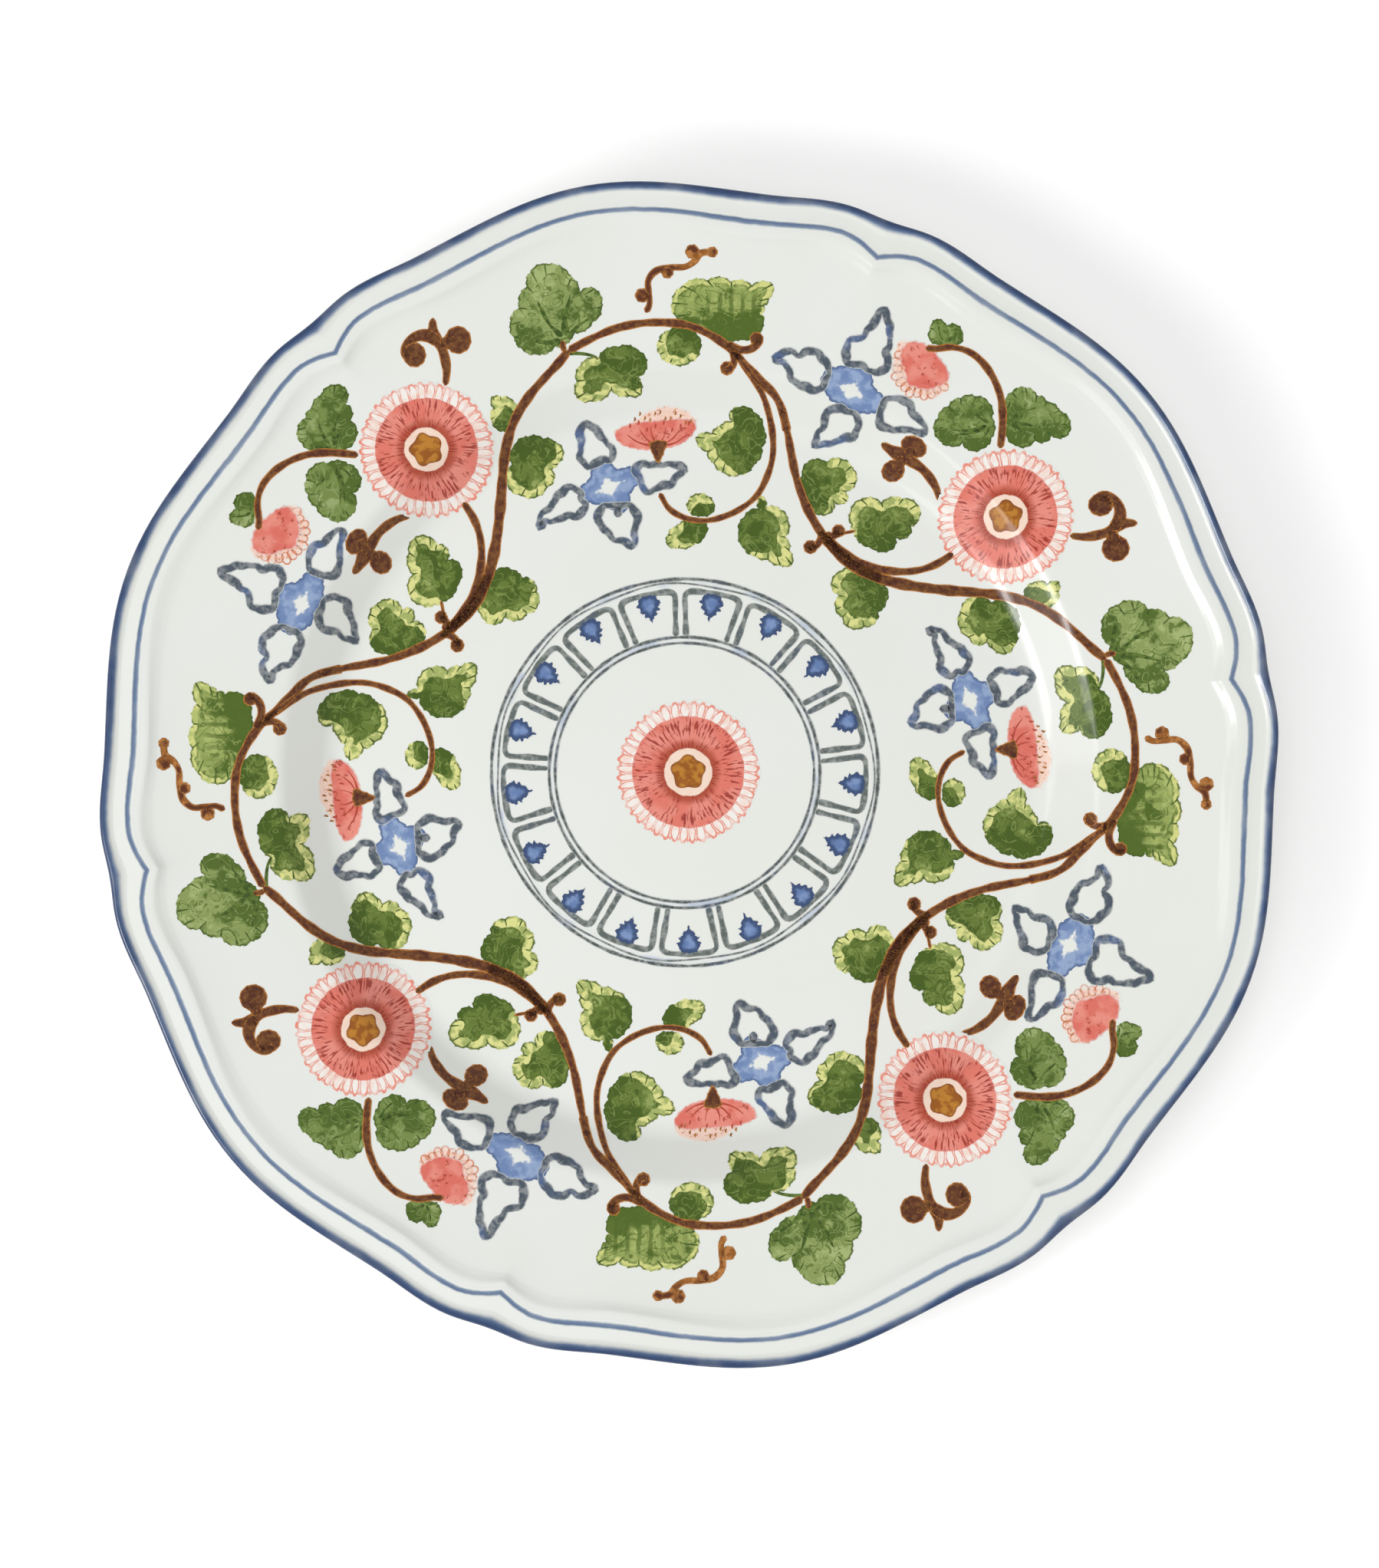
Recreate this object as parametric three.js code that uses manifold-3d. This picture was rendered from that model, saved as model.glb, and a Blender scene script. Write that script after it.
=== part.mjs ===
// A scalloped china dinner plate with fired-on colour decoration.
// Units are millimetres. +Z is up, on the eating side, and the foot ring stands on Z = 0.
// The china is one fired piece. Each motif is a thin colour layer of its own, lying on the glaze.
import * as THREE from 'three';
import { mergeVertices } from 'three/addons/utils/BufferGeometryUtils.js';
import Module from 'manifold-3d';

const wasm = await Module();
wasm.setup();

const { degToRad, lerp, euclideanModulo } = THREE.MathUtils;

// ---- Driving dimensions ----------------------------------------------------------------

// Plan of the plate: six shallow lobes that meet in notches.
const WIDEST_DIAMETER = 270;
const LOBES = 6;
const FIRST_NOTCH_ANGLE = 10;
const NOTCH_SHOULDER_ANGLE = 4.5;
const WAIST_ANGLE = 12.5;
const CROWN_ANGLE = 180 / LOBES;

// How far each rim line stands from the mean edge circle, from the notch to the lobe's crown.
const EDGE_LINE = { notch: -0.54, shoulder: 0.12, waist: -1.26, crown: 1.61 };
const VERGE_LINE = { notch: -9.2, shoulder: -6.11, waist: -7.6, crown: -4.57 };
const MOULDING_LINE = { notch: -11.7, shoulder: -9.1, waist: -11.05, crown: -7.25 };
const MEAN_EDGE_RADIUS = WIDEST_DIAMETER / 2 - EDGE_LINE.crown;
const CALM_RADIUS = 108;

// Eating side, drawn through the crown of a lobe.
const FLOOR_HEIGHT = 7;
const FLOOR_RADIUS = 78.5;
const FLOOR_FILLET = 10;
const WALL_SLOPE = degToRad(36);
const SHOULDER_FILLET = 7;
const FLANGE_START_RADIUS = 94.6;
const FLANGE_SLOPE = degToRad(10);
const MOULDING_STEP = { before: 0.8, after: 0.6, rise: 1 };
const BEAD_RISE = 0.5;
const CHANNEL = { afterBead: 2.4, drop: 0.35 };
const LIP_RISE = 1.3;
const LIP_SHOULDER_DROP = 0.5;
const LIP_ROUNDING = 1.2;

// Underside: the foot ring, the ankle above it and the thickness of the china.
const FOOT_INNER_RADIUS = 77.4;
const FOOT_OUTER_RADIUS = 80.4;
const FOOT_TAPER = 1;
const FOOT_RECESS_DEPTH = 2.8;
const ANKLE = { beyondFoot: 4, rise: 2.2 };
const UNDER_FLANGE_START = FLANGE_START_RADIUS + 1.5;
const CHINA_THICKNESS = 4.6;
const LIP_UNDERSIDE = [
  { inward: 2, drop: 1.8 },
  { inward: 0.5, drop: 0.8 },
];

// Colour layers.
const LAYER_GAP = 0.15;
const LAYER_THICKNESS = 0.2;
const VERGE_WIDTH = 1.4;
const EDGE_BAND_WIDTH = 2.3;
const EDGE_BAND_INSET = 0.3;
const TRANSFER_SHIFT = { x: -1.04, y: 0.52 };
const QUADRANTS = 4;

// ---- Rim outline -----------------------------------------------------------------------

function ease(from, to, share) {
  return lerp(from, to, (1 - Math.cos(Math.PI * share)) / 2);
}

// Radius of a rim line at an angle in degrees.
function lineRadius(line, angle) {
  const lobe = 2 * CROWN_ANGLE;
  const turned = euclideanModulo(angle - FIRST_NOTCH_ANGLE, lobe);
  const fromNotch = Math.min(turned, lobe - turned);
  if (fromNotch < NOTCH_SHOULDER_ANGLE) {
    const share = Math.sin((Math.PI / 2) * (fromNotch / NOTCH_SHOULDER_ANGLE));
    return MEAN_EDGE_RADIUS + lerp(line.notch, line.shoulder, share);
  }
  if (fromNotch < WAIST_ANGLE) {
    const share = (fromNotch - NOTCH_SHOULDER_ANGLE) / (WAIST_ANGLE - NOTCH_SHOULDER_ANGLE);
    return MEAN_EDGE_RADIUS + ease(line.shoulder, line.waist, share);
  }
  const share = (fromNotch - WAIST_ANGLE) / (CROWN_ANGLE - WAIST_ANGLE);
  return MEAN_EDGE_RADIUS + ease(line.waist, line.crown, share);
}

const EDGE_RADIUS = MEAN_EDGE_RADIUS + EDGE_LINE.crown;
const VERGE_RADIUS = MEAN_EDGE_RADIUS + VERGE_LINE.crown;
const MOULDING_RADIUS = MEAN_EDGE_RADIUS + MOULDING_LINE.crown;
const BORDER_START_RADIUS = MOULDING_RADIUS - MOULDING_STEP.before;

// Carries a radius of the crown section to the same place in the section at another angle.
function scalloped(radius, angle) {
  const from = [CALM_RADIUS, MOULDING_RADIUS, VERGE_RADIUS, EDGE_RADIUS];
  const to = [
    CALM_RADIUS,
    lineRadius(MOULDING_LINE, angle),
    lineRadius(VERGE_LINE, angle),
    lineRadius(EDGE_LINE, angle),
  ];
  if (radius <= CALM_RADIUS) return radius;
  const next = Math.max(1, from.findIndex((mark) => radius <= mark + 1e-6));
  const share = (radius - from[next - 1]) / (from[next] - from[next - 1]);
  return lerp(to[next - 1], to[next], share);
}

// Angles round the plate, closer together at the notches.
function ringAngles() {
  const half = [0, 0.5, 1].map((share) => share * NOTCH_SHOULDER_ANGLE);
  for (const share of [0.5, 1]) half.push(lerp(NOTCH_SHOULDER_ANGLE, WAIST_ANGLE, share));
  for (const share of [1 / 3, 2 / 3, 1]) half.push(lerp(WAIST_ANGLE, CROWN_ANGLE, share));
  const otherHalf = half.slice(1, -1).map((angle) => 2 * CROWN_ANGLE - angle).reverse();
  const lobe = [...half, ...otherHalf];
  const angles = [];
  for (let index = 0; index < LOBES; index += 1) {
    for (const angle of lobe) angles.push(FIRST_NOTCH_ANGLE + index * 2 * CROWN_ANGLE + angle);
  }
  return angles;
}

const RING_ANGLES = ringAngles();
const COARSE_RING_ANGLES = RING_ANGLES.filter((angle, index) => index % 2 === 0);

// ---- Sections --------------------------------------------------------------------------

// Eating side of the crown section, from the middle of the plate to its outermost point.
function eatingSide() {
  const fillet = { x: FLOOR_RADIUS, y: FLOOR_HEIGHT + FLOOR_FILLET };
  const filletEnd = {
    x: fillet.x + FLOOR_FILLET * Math.sin(WALL_SLOPE),
    y: fillet.y - FLOOR_FILLET * Math.cos(WALL_SLOPE),
  };
  const shoulderCentreX = FLANGE_START_RADIUS + SHOULDER_FILLET * Math.sin(FLANGE_SLOPE);
  const wallEndX = shoulderCentreX - SHOULDER_FILLET * Math.sin(WALL_SLOPE);
  const wallEndY = filletEnd.y + (wallEndX - filletEnd.x) * Math.tan(WALL_SLOPE);
  const shoulderCentreY = wallEndY - SHOULDER_FILLET * Math.cos(WALL_SLOPE);
  const flangeStartY = shoulderCentreY + SHOULDER_FILLET * Math.cos(FLANGE_SLOPE);
  const flangeRun = BORDER_START_RADIUS - FLANGE_START_RADIUS;
  const stepFoot = flangeStartY + flangeRun * Math.tan(FLANGE_SLOPE);
  const stepHead = stepFoot + MOULDING_STEP.rise;
  const bead = stepHead + BEAD_RISE;
  const channel = bead - CHANNEL.drop;
  const lip = channel + LIP_RISE;

  const side = new THREE.Path();
  side.moveTo(0, FLOOR_HEIGHT);
  side.lineTo(FLOOR_RADIUS, FLOOR_HEIGHT);
  side.absarc(fillet.x, fillet.y, FLOOR_FILLET, -Math.PI / 2, -Math.PI / 2 + WALL_SLOPE, false);
  const shoulderFrom = Math.PI / 2 + WALL_SLOPE;
  const shoulderTo = Math.PI / 2 + FLANGE_SLOPE;
  side.absarc(shoulderCentreX, shoulderCentreY, SHOULDER_FILLET, shoulderFrom, shoulderTo, true);
  side.lineTo(BORDER_START_RADIUS, stepFoot);
  side.lineTo(MOULDING_RADIUS + MOULDING_STEP.after, stepHead);
  side.lineTo(VERGE_RADIUS, bead);
  side.lineTo(VERGE_RADIUS + CHANNEL.afterBead, channel);
  side.lineTo(EDGE_RADIUS - EDGE_BAND_WIDTH, lip - LIP_SHOULDER_DROP);
  side.lineTo(EDGE_RADIUS - LIP_ROUNDING, lip);
  side.lineTo(EDGE_RADIUS - LIP_ROUNDING / 4, lip - LIP_ROUNDING / 5);
  side.lineTo(EDGE_RADIUS, lip - LIP_ROUNDING * 0.7);
  return side.getPoints(1);
}

const EATING_SIDE = eatingSide();
const RIM_POINT = EATING_SIDE.at(-1);

// Underside of the crown section, from the middle outwards, up to the outermost point.
function underside() {
  const flangeStart = EATING_SIDE.find((point) => point.x > FLANGE_START_RADIUS - 0.01);
  const flangeRise = (radius) => (radius - FLANGE_START_RADIUS) * Math.tan(FLANGE_SLOPE);
  const flangeUnder = (radius) => flangeStart.y - CHINA_THICKNESS + flangeRise(radius);
  const side = new THREE.Path();
  side.moveTo(0, FOOT_RECESS_DEPTH);
  side.lineTo(FOOT_INNER_RADIUS - FOOT_TAPER, FOOT_RECESS_DEPTH);
  side.lineTo(FOOT_INNER_RADIUS, 0);
  side.lineTo(FOOT_OUTER_RADIUS, 0);
  side.lineTo(FOOT_OUTER_RADIUS + FOOT_TAPER, FOOT_RECESS_DEPTH);
  side.lineTo(FOOT_OUTER_RADIUS + ANKLE.beyondFoot, FOOT_RECESS_DEPTH + ANKLE.rise);
  side.lineTo(UNDER_FLANGE_START, flangeUnder(UNDER_FLANGE_START));
  side.lineTo(MOULDING_RADIUS, flangeUnder(MOULDING_RADIUS));
  for (const { inward, drop } of LIP_UNDERSIDE) {
    side.lineTo(EDGE_RADIUS - inward, RIM_POINT.y - drop);
  }
  return side.getPoints(1);
}

// ---- Solids ----------------------------------------------------------------------------

function manifoldOf(geometry) {
  geometry.deleteAttribute('normal');
  geometry.deleteAttribute('uv');
  const merged = mergeVertices(geometry, 1e-4);
  const corners = merged.index.array;
  const triVerts = [];
  for (let first = 0; first < corners.length; first += 3) {
    const [a, b, c] = corners.slice(first, first + 3);
    if (a !== b && b !== c && c !== a) triVerts.push(a, b, c);
  }
  return new wasm.Manifold(
    new wasm.Mesh({
      numProp: 3,
      vertProperties: merged.attributes.position.array,
      triVerts: new Uint32Array(triVerts),
    }),
  );
}

// Turns a section round the plate's axis and pushes its rings out to the scalloped outline.
function scallopedLathe(section, angles) {
  const geometry = new THREE.LatheGeometry(section, angles.length);
  const position = geometry.attributes.position;
  for (let index = 0; index < position.count; index += 1) {
    const ring = Math.floor(index / section.length) % angles.length;
    const point = section[index % section.length];
    const angle = angles[ring];
    const radius = scalloped(point.x, angle);
    const x = radius * Math.cos(degToRad(angle));
    const y = radius * Math.sin(degToRad(angle));
    position.setXYZ(index, x, y, point.y);
  }
  return manifoldOf(geometry);
}

// Height of the eating side at a radius of the crown section.
function eatingHeight(radius) {
  const next = EATING_SIDE.findIndex((point) => point.x >= radius);
  const from = EATING_SIDE[next - 1];
  const to = EATING_SIDE[next];
  return lerp(from.y, to.y, (radius - from.x) / (to.x - from.x));
}

// A colour layer that covers the eating side between two radii of the crown section.
function layer(innerRadius, outerRadius, angles = RING_ANGLES) {
  const covered = EATING_SIDE.filter(({ x }) => x > innerRadius && x < outerRadius);
  const followed = [
    new THREE.Vector2(innerRadius, innerRadius > 0 ? eatingHeight(innerRadius) : FLOOR_HEIGHT),
    ...covered,
    new THREE.Vector2(outerRadius, eatingHeight(outerRadius)),
  ];
  const raised = (height) => followed.map(({ x, y }) => new THREE.Vector2(x, y + height));
  const lower = raised(LAYER_GAP);
  const upper = raised(LAYER_GAP + LAYER_THICKNESS).reverse();
  const section = innerRadius > 0 ? [...lower, ...upper, lower[0].clone()] : [...lower, ...upper];
  return scallopedLathe(section, angles);
}

// ---- Drawing tools: each stands a motif's outline up as a prism through the plate -------

const PRISM_HEIGHT = 40;
const SMALL_ROUND = { upTo: 3.1, steps: 3 };
const LARGE_ROUND_STEPS = 5;
const RING_ROUND_STEPS = 17;
const STEM_STEP = 10;

function prism(shape, curveSegments = LARGE_ROUND_STEPS) {
  const settings = { depth: PRISM_HEIGHT, bevelEnabled: false, curveSegments };
  return manifoldOf(new THREE.ExtrudeGeometry(shape, settings));
}

function oval(x, y, halfLength, halfWidth, turn = 0) {
  const shape = new THREE.Shape();
  shape.absellipse(x, y, halfLength, halfWidth, 0, 2 * Math.PI, false, degToRad(turn));
  const small = Math.max(halfLength, halfWidth) < SMALL_ROUND.upTo;
  return prism(shape, small ? SMALL_ROUND.steps : LARGE_ROUND_STEPS);
}

function disc(x, y, radius) {
  return oval(x, y, radius, radius);
}

// A petal or pointed bud that runs from its root to its tip.
function petal([rootX, rootY], [tipX, tipY], width) {
  const root = new THREE.Vector2(rootX, rootY);
  const tip = new THREE.Vector2(tipX, tipY);
  const middle = root.clone().lerp(tip, 0.5);
  const along = tip.clone().sub(root);
  const turn = THREE.MathUtils.radToDeg(along.angle());
  return oval(middle.x, middle.y, along.length() / 2, width / 2, turn);
}

// A stem of even width along a smooth curve.
function stem(width, points) {
  const curve = new THREE.SplineCurve(points.map(([x, y]) => new THREE.Vector2(x, y)));
  const steps = Math.max(1, Math.round(curve.getLength() / STEM_STEP));
  const left = [];
  const right = [];
  for (let step = 0; step <= steps; step += 1) {
    const place = curve.getPointAt(step / steps);
    const tangent = curve.getTangentAt(step / steps);
    const aside = new THREE.Vector2(-tangent.y, tangent.x).multiplyScalar(width / 2);
    right.push(place.clone().sub(aside));
    left.unshift(place.clone().add(aside));
  }
  return prism(new THREE.Shape([...right, ...left]));
}

function joined(prisms) {
  return prisms.reduce((whole, piece) => whole.add(piece));
}

// ---- Motifs of one quadrant, measured from the middle of the decoration -----------------

const ROSETTE = { x: 72.7, y: 57.8, radius: 15.2 };

function vine() {
  const mainStem = stem(2.2, [
    [-18.5, 98.8], [-10, 101.5], [0, 101], [6, 99], [12, 95], [18.5, 87.5], [23, 81], [25, 72],
    [27, 63], [31.5, 54], [36, 48.6], [42, 45], [55, 42], [70, 40.5], [80, 37], [88, 29.5],
    [93.5, 25.3], [97.6, 20.4],
  ]);
  const innerScroll = stem(1.6, [
    [12, 95], [17.5, 87], [20.3, 77], [19.5, 69], [16.5, 62.5], [8, 58], [2, 57.5], [-4, 61],
    [-5, 62.4],
  ]);
  const rosetteBranch = stem(1.8, [[33, 53], [40, 47.8], [50, 45.7], [59.4, 48.4]]);
  const curls = [
    stem(1.6, [[12, 95.5], [17, 97.5]]),
    disc(17, 97.6, 1.7),
    stem(1.6, [[11.5, 95], [10.2, 91.4]]),
    disc(10, 91.5, 1.5),
    stem(1.6, [[31.5, 54.5], [29, 51.4]]),
    disc(28.8, 51.4, 1.6),
    stem(1.6, [[32, 53], [39.5, 55.2]]),
    disc(35.3, 54.9, 1.6),
  ];
  const leafStalks = [
    stem(1.2, [[16, 78], [20.5, 79.4]]),
    stem(1.4, [[16, 64], [18.6, 57]]),
    stem(1, [[2, 54.5], [3.6, 60.5]]),
    stem(1, [[81, 40], [79.4, 36.6]]),
    stem(1.4, [[94.4, 25], [99.5, 28]]),
    stem(1.2, [[94.6, 25.5], [93.4, 19.5]]),
  ];
  const leaves = [
    oval(8.5, 104.6, 10.5, 6, -4),
    oval(-0.8, 96.4, 4.7, 4.3),
    oval(11, 75.4, 7.8, 6.2, 12),
    oval(4, 60.9, 3, 2.9),
    oval(0.8, 54.5, 4.5, 3, 12),
    oval(19, 54.4, 7.2, 5.6, -65),
    oval(33, 65.5, 6.5, 6.5),
    oval(46, 57.2, 8, 6.2),
    oval(39.7, 39.8, 6.6, 6.2),
    oval(69.5, 33.6, 6.9, 6.3),
    oval(81.4, 40.1, 4.1, 3.1),
    oval(90.4, 15.2, 7.4, 5.2, 80),
    oval(104.4, 29.3, 8.8, 10.2, -20),
  ];
  return joined([mainStem, innerScroll, rosetteBranch, ...curls, ...leafStalks, ...leaves]);
}

function bloom({ x, y, radius }) {
  const shape = new THREE.Shape();
  shape.absarc(x, y, radius, 0, 2 * Math.PI, false);
  return prism(shape, 2 * LARGE_ROUND_STEPS);
}

function budSpray() {
  return joined([
    stem(1.8, [[71.7, 73.7], [71.9, 80], [71.4, 85], [69, 90.5], [65, 94.9], [60, 96], [55.5, 95.7]]),
    oval(54.4, 90.8, 6.8, 6, -55),
    oval(58.8, 98.5, 4, 3.4, -10),
    oval(64.6, 78.9, 7.2, 6, 14),
    oval(79.5, 79.9, 7.9, 6.2, -9),
  ]);
}

function outerBlueFlower() {
  return joined([
    oval(38.5, 86.6, 7, 4.6, -35),
    petal([39, 88], [45.4, 105], 8.6),
    petal([36.5, 88.5], [20.5, 93.4], 7.6),
    petal([38.5, 84.5], [29.6, 74.6], 7.6),
    petal([41, 85], [55, 77], 7.2),
  ]);
}

function innerBlueFlower() {
  return joined([
    oval(65.3, 16.4, 6.4, 5.6),
    petal([69.5, 17.3], [79.7, 20.9], 7),
    petal([66.8, 12.6], [68.8, 0], 6.4),
    petal([63.4, 20.6], [56, 32.9], 6),
    petal([62.4, 15.5], [51.2, 12.2], 8.4),
  ]);
}

function halfFlower() {
  return joined([
    oval(-6.4, 78, 8.6, 4.4, 6),
    stem(3, [[-5.6, 76], [-5.5, 71.8]]),
  ]);
}

function outerFleur() {
  return joined([
    stem(1.8, [[88.4, 53.4], [92, 53.4], [97, 55.2]]),
    stem(1.8, [[96, 54.6], [98.3, 58], [97.2, 61], [94, 61.6]]),
    disc(93.8, 60.4, 2.6),
    disc(97.6, 50.4, 3),
    stem(1.8, [[97, 55], [97.6, 50.4]]),
    petal([96, 55.3], [102.3, 56], 2.6),
  ]);
}

function innerFleur() {
  return joined([
    stem(1.6, [[57.3, 63], [56, 66.5], [52.5, 70], [49, 71.8]]),
    disc(47.7, 68.8, 2.5),
    stem(1.6, [[49.6, 71.6], [47.7, 68.8]]),
    oval(51.8, 73.5, 2.9, 2, -30),
    petal([50.5, 71.8], [44.9, 74.6], 2.2),
  ]);
}

function tendril() {
  return joined([
    stem(1.6, [[-8.2, 103.9], [-7.4, 107], [-8, 111], [-5, 113.8], [0, 114], [3, 116.4], [7, 117.4]]),
    disc(-8.9, 107.7, 1.7),
    disc(-3.5, 113, 1.3),
    disc(2.3, 117.2, 1.5),
  ]);
}

// ---- Motifs in the middle of the plate --------------------------------------------------

const PANELS = 17;
const FIRST_PANEL_ANGLE = -88.5;
const PANEL_BAR_WIDTH = 3.4;
const MEDALLION = { innerRadius: 29.6, innerLine: 1.6, outerRadius: 44.8, outerLine: 1.2 };
const PANEL_LEAF = { inset: 3.9, halfLength: 3, halfWidth: 2.3 };
const CENTRE_ROSETTE = { x: 0.5, y: 0, radius: 16.4 };

function ringPrism(outerRadius, width) {
  const shape = new THREE.Shape();
  shape.absarc(0, 0, outerRadius, 0, 2 * Math.PI, false);
  const hole = new THREE.Path();
  hole.absarc(0, 0, outerRadius - width, 0, 2 * Math.PI, true);
  shape.holes.push(hole);
  return prism(shape, RING_ROUND_STEPS);
}

function medallionBorder() {
  const { innerRadius, innerLine, outerRadius, outerLine } = MEDALLION;
  const pieces = [ringPrism(outerRadius, outerLine), ringPrism(innerRadius + innerLine, innerLine)];
  const barFrom = innerRadius + innerLine / 2;
  const barTo = outerRadius - outerLine / 2;
  for (let panel = 0; panel < PANELS; panel += 1) {
    const leafAngle = FIRST_PANEL_ANGLE + (panel * 360) / PANELS;
    const barAngle = leafAngle + 180 / PANELS;
    pieces.push(stem(PANEL_BAR_WIDTH, [[barFrom, 0], [barTo, 0]]).rotate([0, 0, barAngle]));
    const leaf = oval(outerRadius - PANEL_LEAF.inset, 0, PANEL_LEAF.halfLength, PANEL_LEAF.halfWidth);
    pieces.push(leaf.rotate([0, 0, leafAngle]));
  }
  return joined(pieces);
}

// ---- Materials -------------------------------------------------------------------------

function glaze(color, roughness = 0.15) {
  return new THREE.MeshStandardMaterial({ color, roughness, metalness: 0 });
}

const china = glaze(0xe8e9e3, 0.12);
const steelBlue = glaze(0x5a739c);
const slateBlue = glaze(0x7286a6);
const vineGreen = glaze(0x5f7d3a);
const coral = glaze(0xd96f66);
const sepia = glaze(0x5d3018);

// ---- Assembly --------------------------------------------------------------------------

const plate = new THREE.Group();
plate.name = 'dinner_plate';

function place(name, solid, material) {
  const { vertProperties, triVerts } = solid.getMesh();
  const geometry = new THREE.BufferGeometry();
  geometry.setAttribute('position', new THREE.BufferAttribute(vertProperties, 3));
  geometry.setIndex(new THREE.BufferAttribute(triVerts, 1));
  geometry.computeVertexNormals();
  const mesh = new THREE.Mesh(geometry, material);
  mesh.name = name;
  plate.add(mesh);
}

const bodySection = [...underside(), ...EATING_SIDE.toReversed()];
place('plate_body', scallopedLathe(bodySection, RING_ANGLES), china);
place('edge_band', layer(EDGE_RADIUS - EDGE_BAND_WIDTH, EDGE_RADIUS - EDGE_BAND_INSET), steelBlue);
place('verge_line', layer(VERGE_RADIUS - VERGE_WIDTH / 2, VERGE_RADIUS + VERGE_WIDTH / 2), steelBlue);

// Its wider facets bridge the hollow side of the plate's own, so it never dips into them.
const colourSheet = layer(0, BORDER_START_RADIUS, COARSE_RING_ANGLES);

// Cuts a motif out of the sheet of colour that follows the eating side.
function printed(motif, turn = 0) {
  const laid = motif.rotate([0, 0, turn]).translate([TRANSFER_SHIFT.x, TRANSFER_SHIFT.y, 0]);
  return colourSheet.intersect(laid);
}

place('medallion_border', printed(medallionBorder()), slateBlue);
place('centre_rosette', printed(bloom(CENTRE_ROSETTE)), coral);

const quadrantMotifs = {
  vine: [vine(), vineGreen],
  rosette: [bloom(ROSETTE), coral],
  bud_spray: [budSpray(), coral],
  outer_blue_flower: [outerBlueFlower(), slateBlue],
  inner_blue_flower: [innerBlueFlower(), slateBlue],
  half_flower: [halfFlower(), coral],
  outer_fleur: [outerFleur(), sepia],
  inner_fleur: [innerFleur(), sepia],
  tendril: [tendril(), sepia],
};

for (let quadrant = 1; quadrant <= QUADRANTS; quadrant += 1) {
  const turn = (-360 / QUADRANTS) * (quadrant - 1);
  for (const [name, [motif, material]] of Object.entries(quadrantMotifs)) {
    place(`${name}_${quadrant}`, printed(motif, turn), material);
  }
}

export default plate;
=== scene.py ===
"""Looks of a scalloped china dinner plate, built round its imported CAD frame.

The plan and the decoration are drawn in millimetres; meshes are made in metres, +Z up.
"""
import functools
import math

import bpy
import numpy as np
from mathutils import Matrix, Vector
from mathutils.geometry import delaunay_2d_cdt


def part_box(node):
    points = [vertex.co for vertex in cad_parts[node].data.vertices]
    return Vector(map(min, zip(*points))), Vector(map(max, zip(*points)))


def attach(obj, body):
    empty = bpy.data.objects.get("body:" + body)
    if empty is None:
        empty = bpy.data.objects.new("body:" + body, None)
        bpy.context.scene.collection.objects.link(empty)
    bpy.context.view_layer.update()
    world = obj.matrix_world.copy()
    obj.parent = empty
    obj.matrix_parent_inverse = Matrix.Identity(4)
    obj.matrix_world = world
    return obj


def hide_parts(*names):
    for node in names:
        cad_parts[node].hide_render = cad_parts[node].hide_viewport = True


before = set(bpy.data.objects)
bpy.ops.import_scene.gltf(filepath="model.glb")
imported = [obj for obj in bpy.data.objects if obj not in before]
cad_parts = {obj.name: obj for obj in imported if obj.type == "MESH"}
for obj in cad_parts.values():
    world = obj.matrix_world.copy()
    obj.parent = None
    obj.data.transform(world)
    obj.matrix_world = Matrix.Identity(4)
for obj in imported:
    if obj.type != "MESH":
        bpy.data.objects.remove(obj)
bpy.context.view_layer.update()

MM = 0.001

# ---- Sizes -------------------------------------------------------------------------------

# Taken from the frame.
CAD_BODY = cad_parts["plate_body"]
CROWN_RADIUS = max(math.hypot(vertex.co.x, vertex.co.y) for vertex in CAD_BODY.data.vertices) / MM
LIP_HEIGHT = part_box("plate_body")[1][2] / MM

# Rim lines: offsets from the mean edge circle at the notch, shoulder, waist and crown of a lobe.
LOBES = 6
FIRST_NOTCH_ANGLE = 10.0
SHOULDER_ANGLE = 4.5
WAIST_ANGLE = 12.5
CROWN_ANGLE = 180.0 / LOBES
EDGE_LINE = (-0.54, 0.12, -1.26, 1.61)
VERGE_LINE = (-9.2, -6.11, -7.6, -4.57)
MOULDING_LINE = (-11.7, -9.1, -11.05, -7.25)
MEAN_EDGE_RADIUS = CROWN_RADIUS - EDGE_LINE[3]
VERGE_RADIUS = MEAN_EDGE_RADIUS + VERGE_LINE[3]
MOULDING_RADIUS = MEAN_EDGE_RADIUS + MOULDING_LINE[3]
# Inside this circle the scallops no longer show.
CALM_RADIUS = 108.0

# Section through the crown of a lobe.
FLOOR_HEIGHT = 7.0
FLOOR_DISH = 0.2
FLOOR_RADIUS = 78.5
FLOOR_FILLET = 10.0
WALL_SLOPE = math.radians(36)
SHOULDER_FILLET = 7.0
FLANGE_START_RADIUS = 94.6
FLANGE_SLOPE = math.radians(10)
FLANGE_MARKS = (0, 6, 12, 18)  # how far along the straight flange its knots lie
VERGE_DROP = 1.1
CHINA_THICKNESS = 4.6
FOOT_INNER_RADIUS = 77.4
FOOT_OUTER_RADIUS = 80.4
FOOT_ROUNDING = 0.6
FOOT_RECESS_DEPTH = 2.8

# How finely the china is meshed: rings over the floor, steps round half a lobe, and rings over each
# painted rim line. Edges that turn by more than the sharp angle stay crisp.
FLOOR_RINGS = 26
HALF_LOBE_STEPS = 30
EDGE_BAND_RINGS = 19
VERGE_LINE_RINGS = 9
SHARP_ANGLE = math.radians(50)

# Colour layers: how far they stand above and reach below the glaze's surface.
LAYER_LIFT = 0.05
LEVEL_LIFT = 0.02
LAYER_ROOT = 0.03

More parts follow.
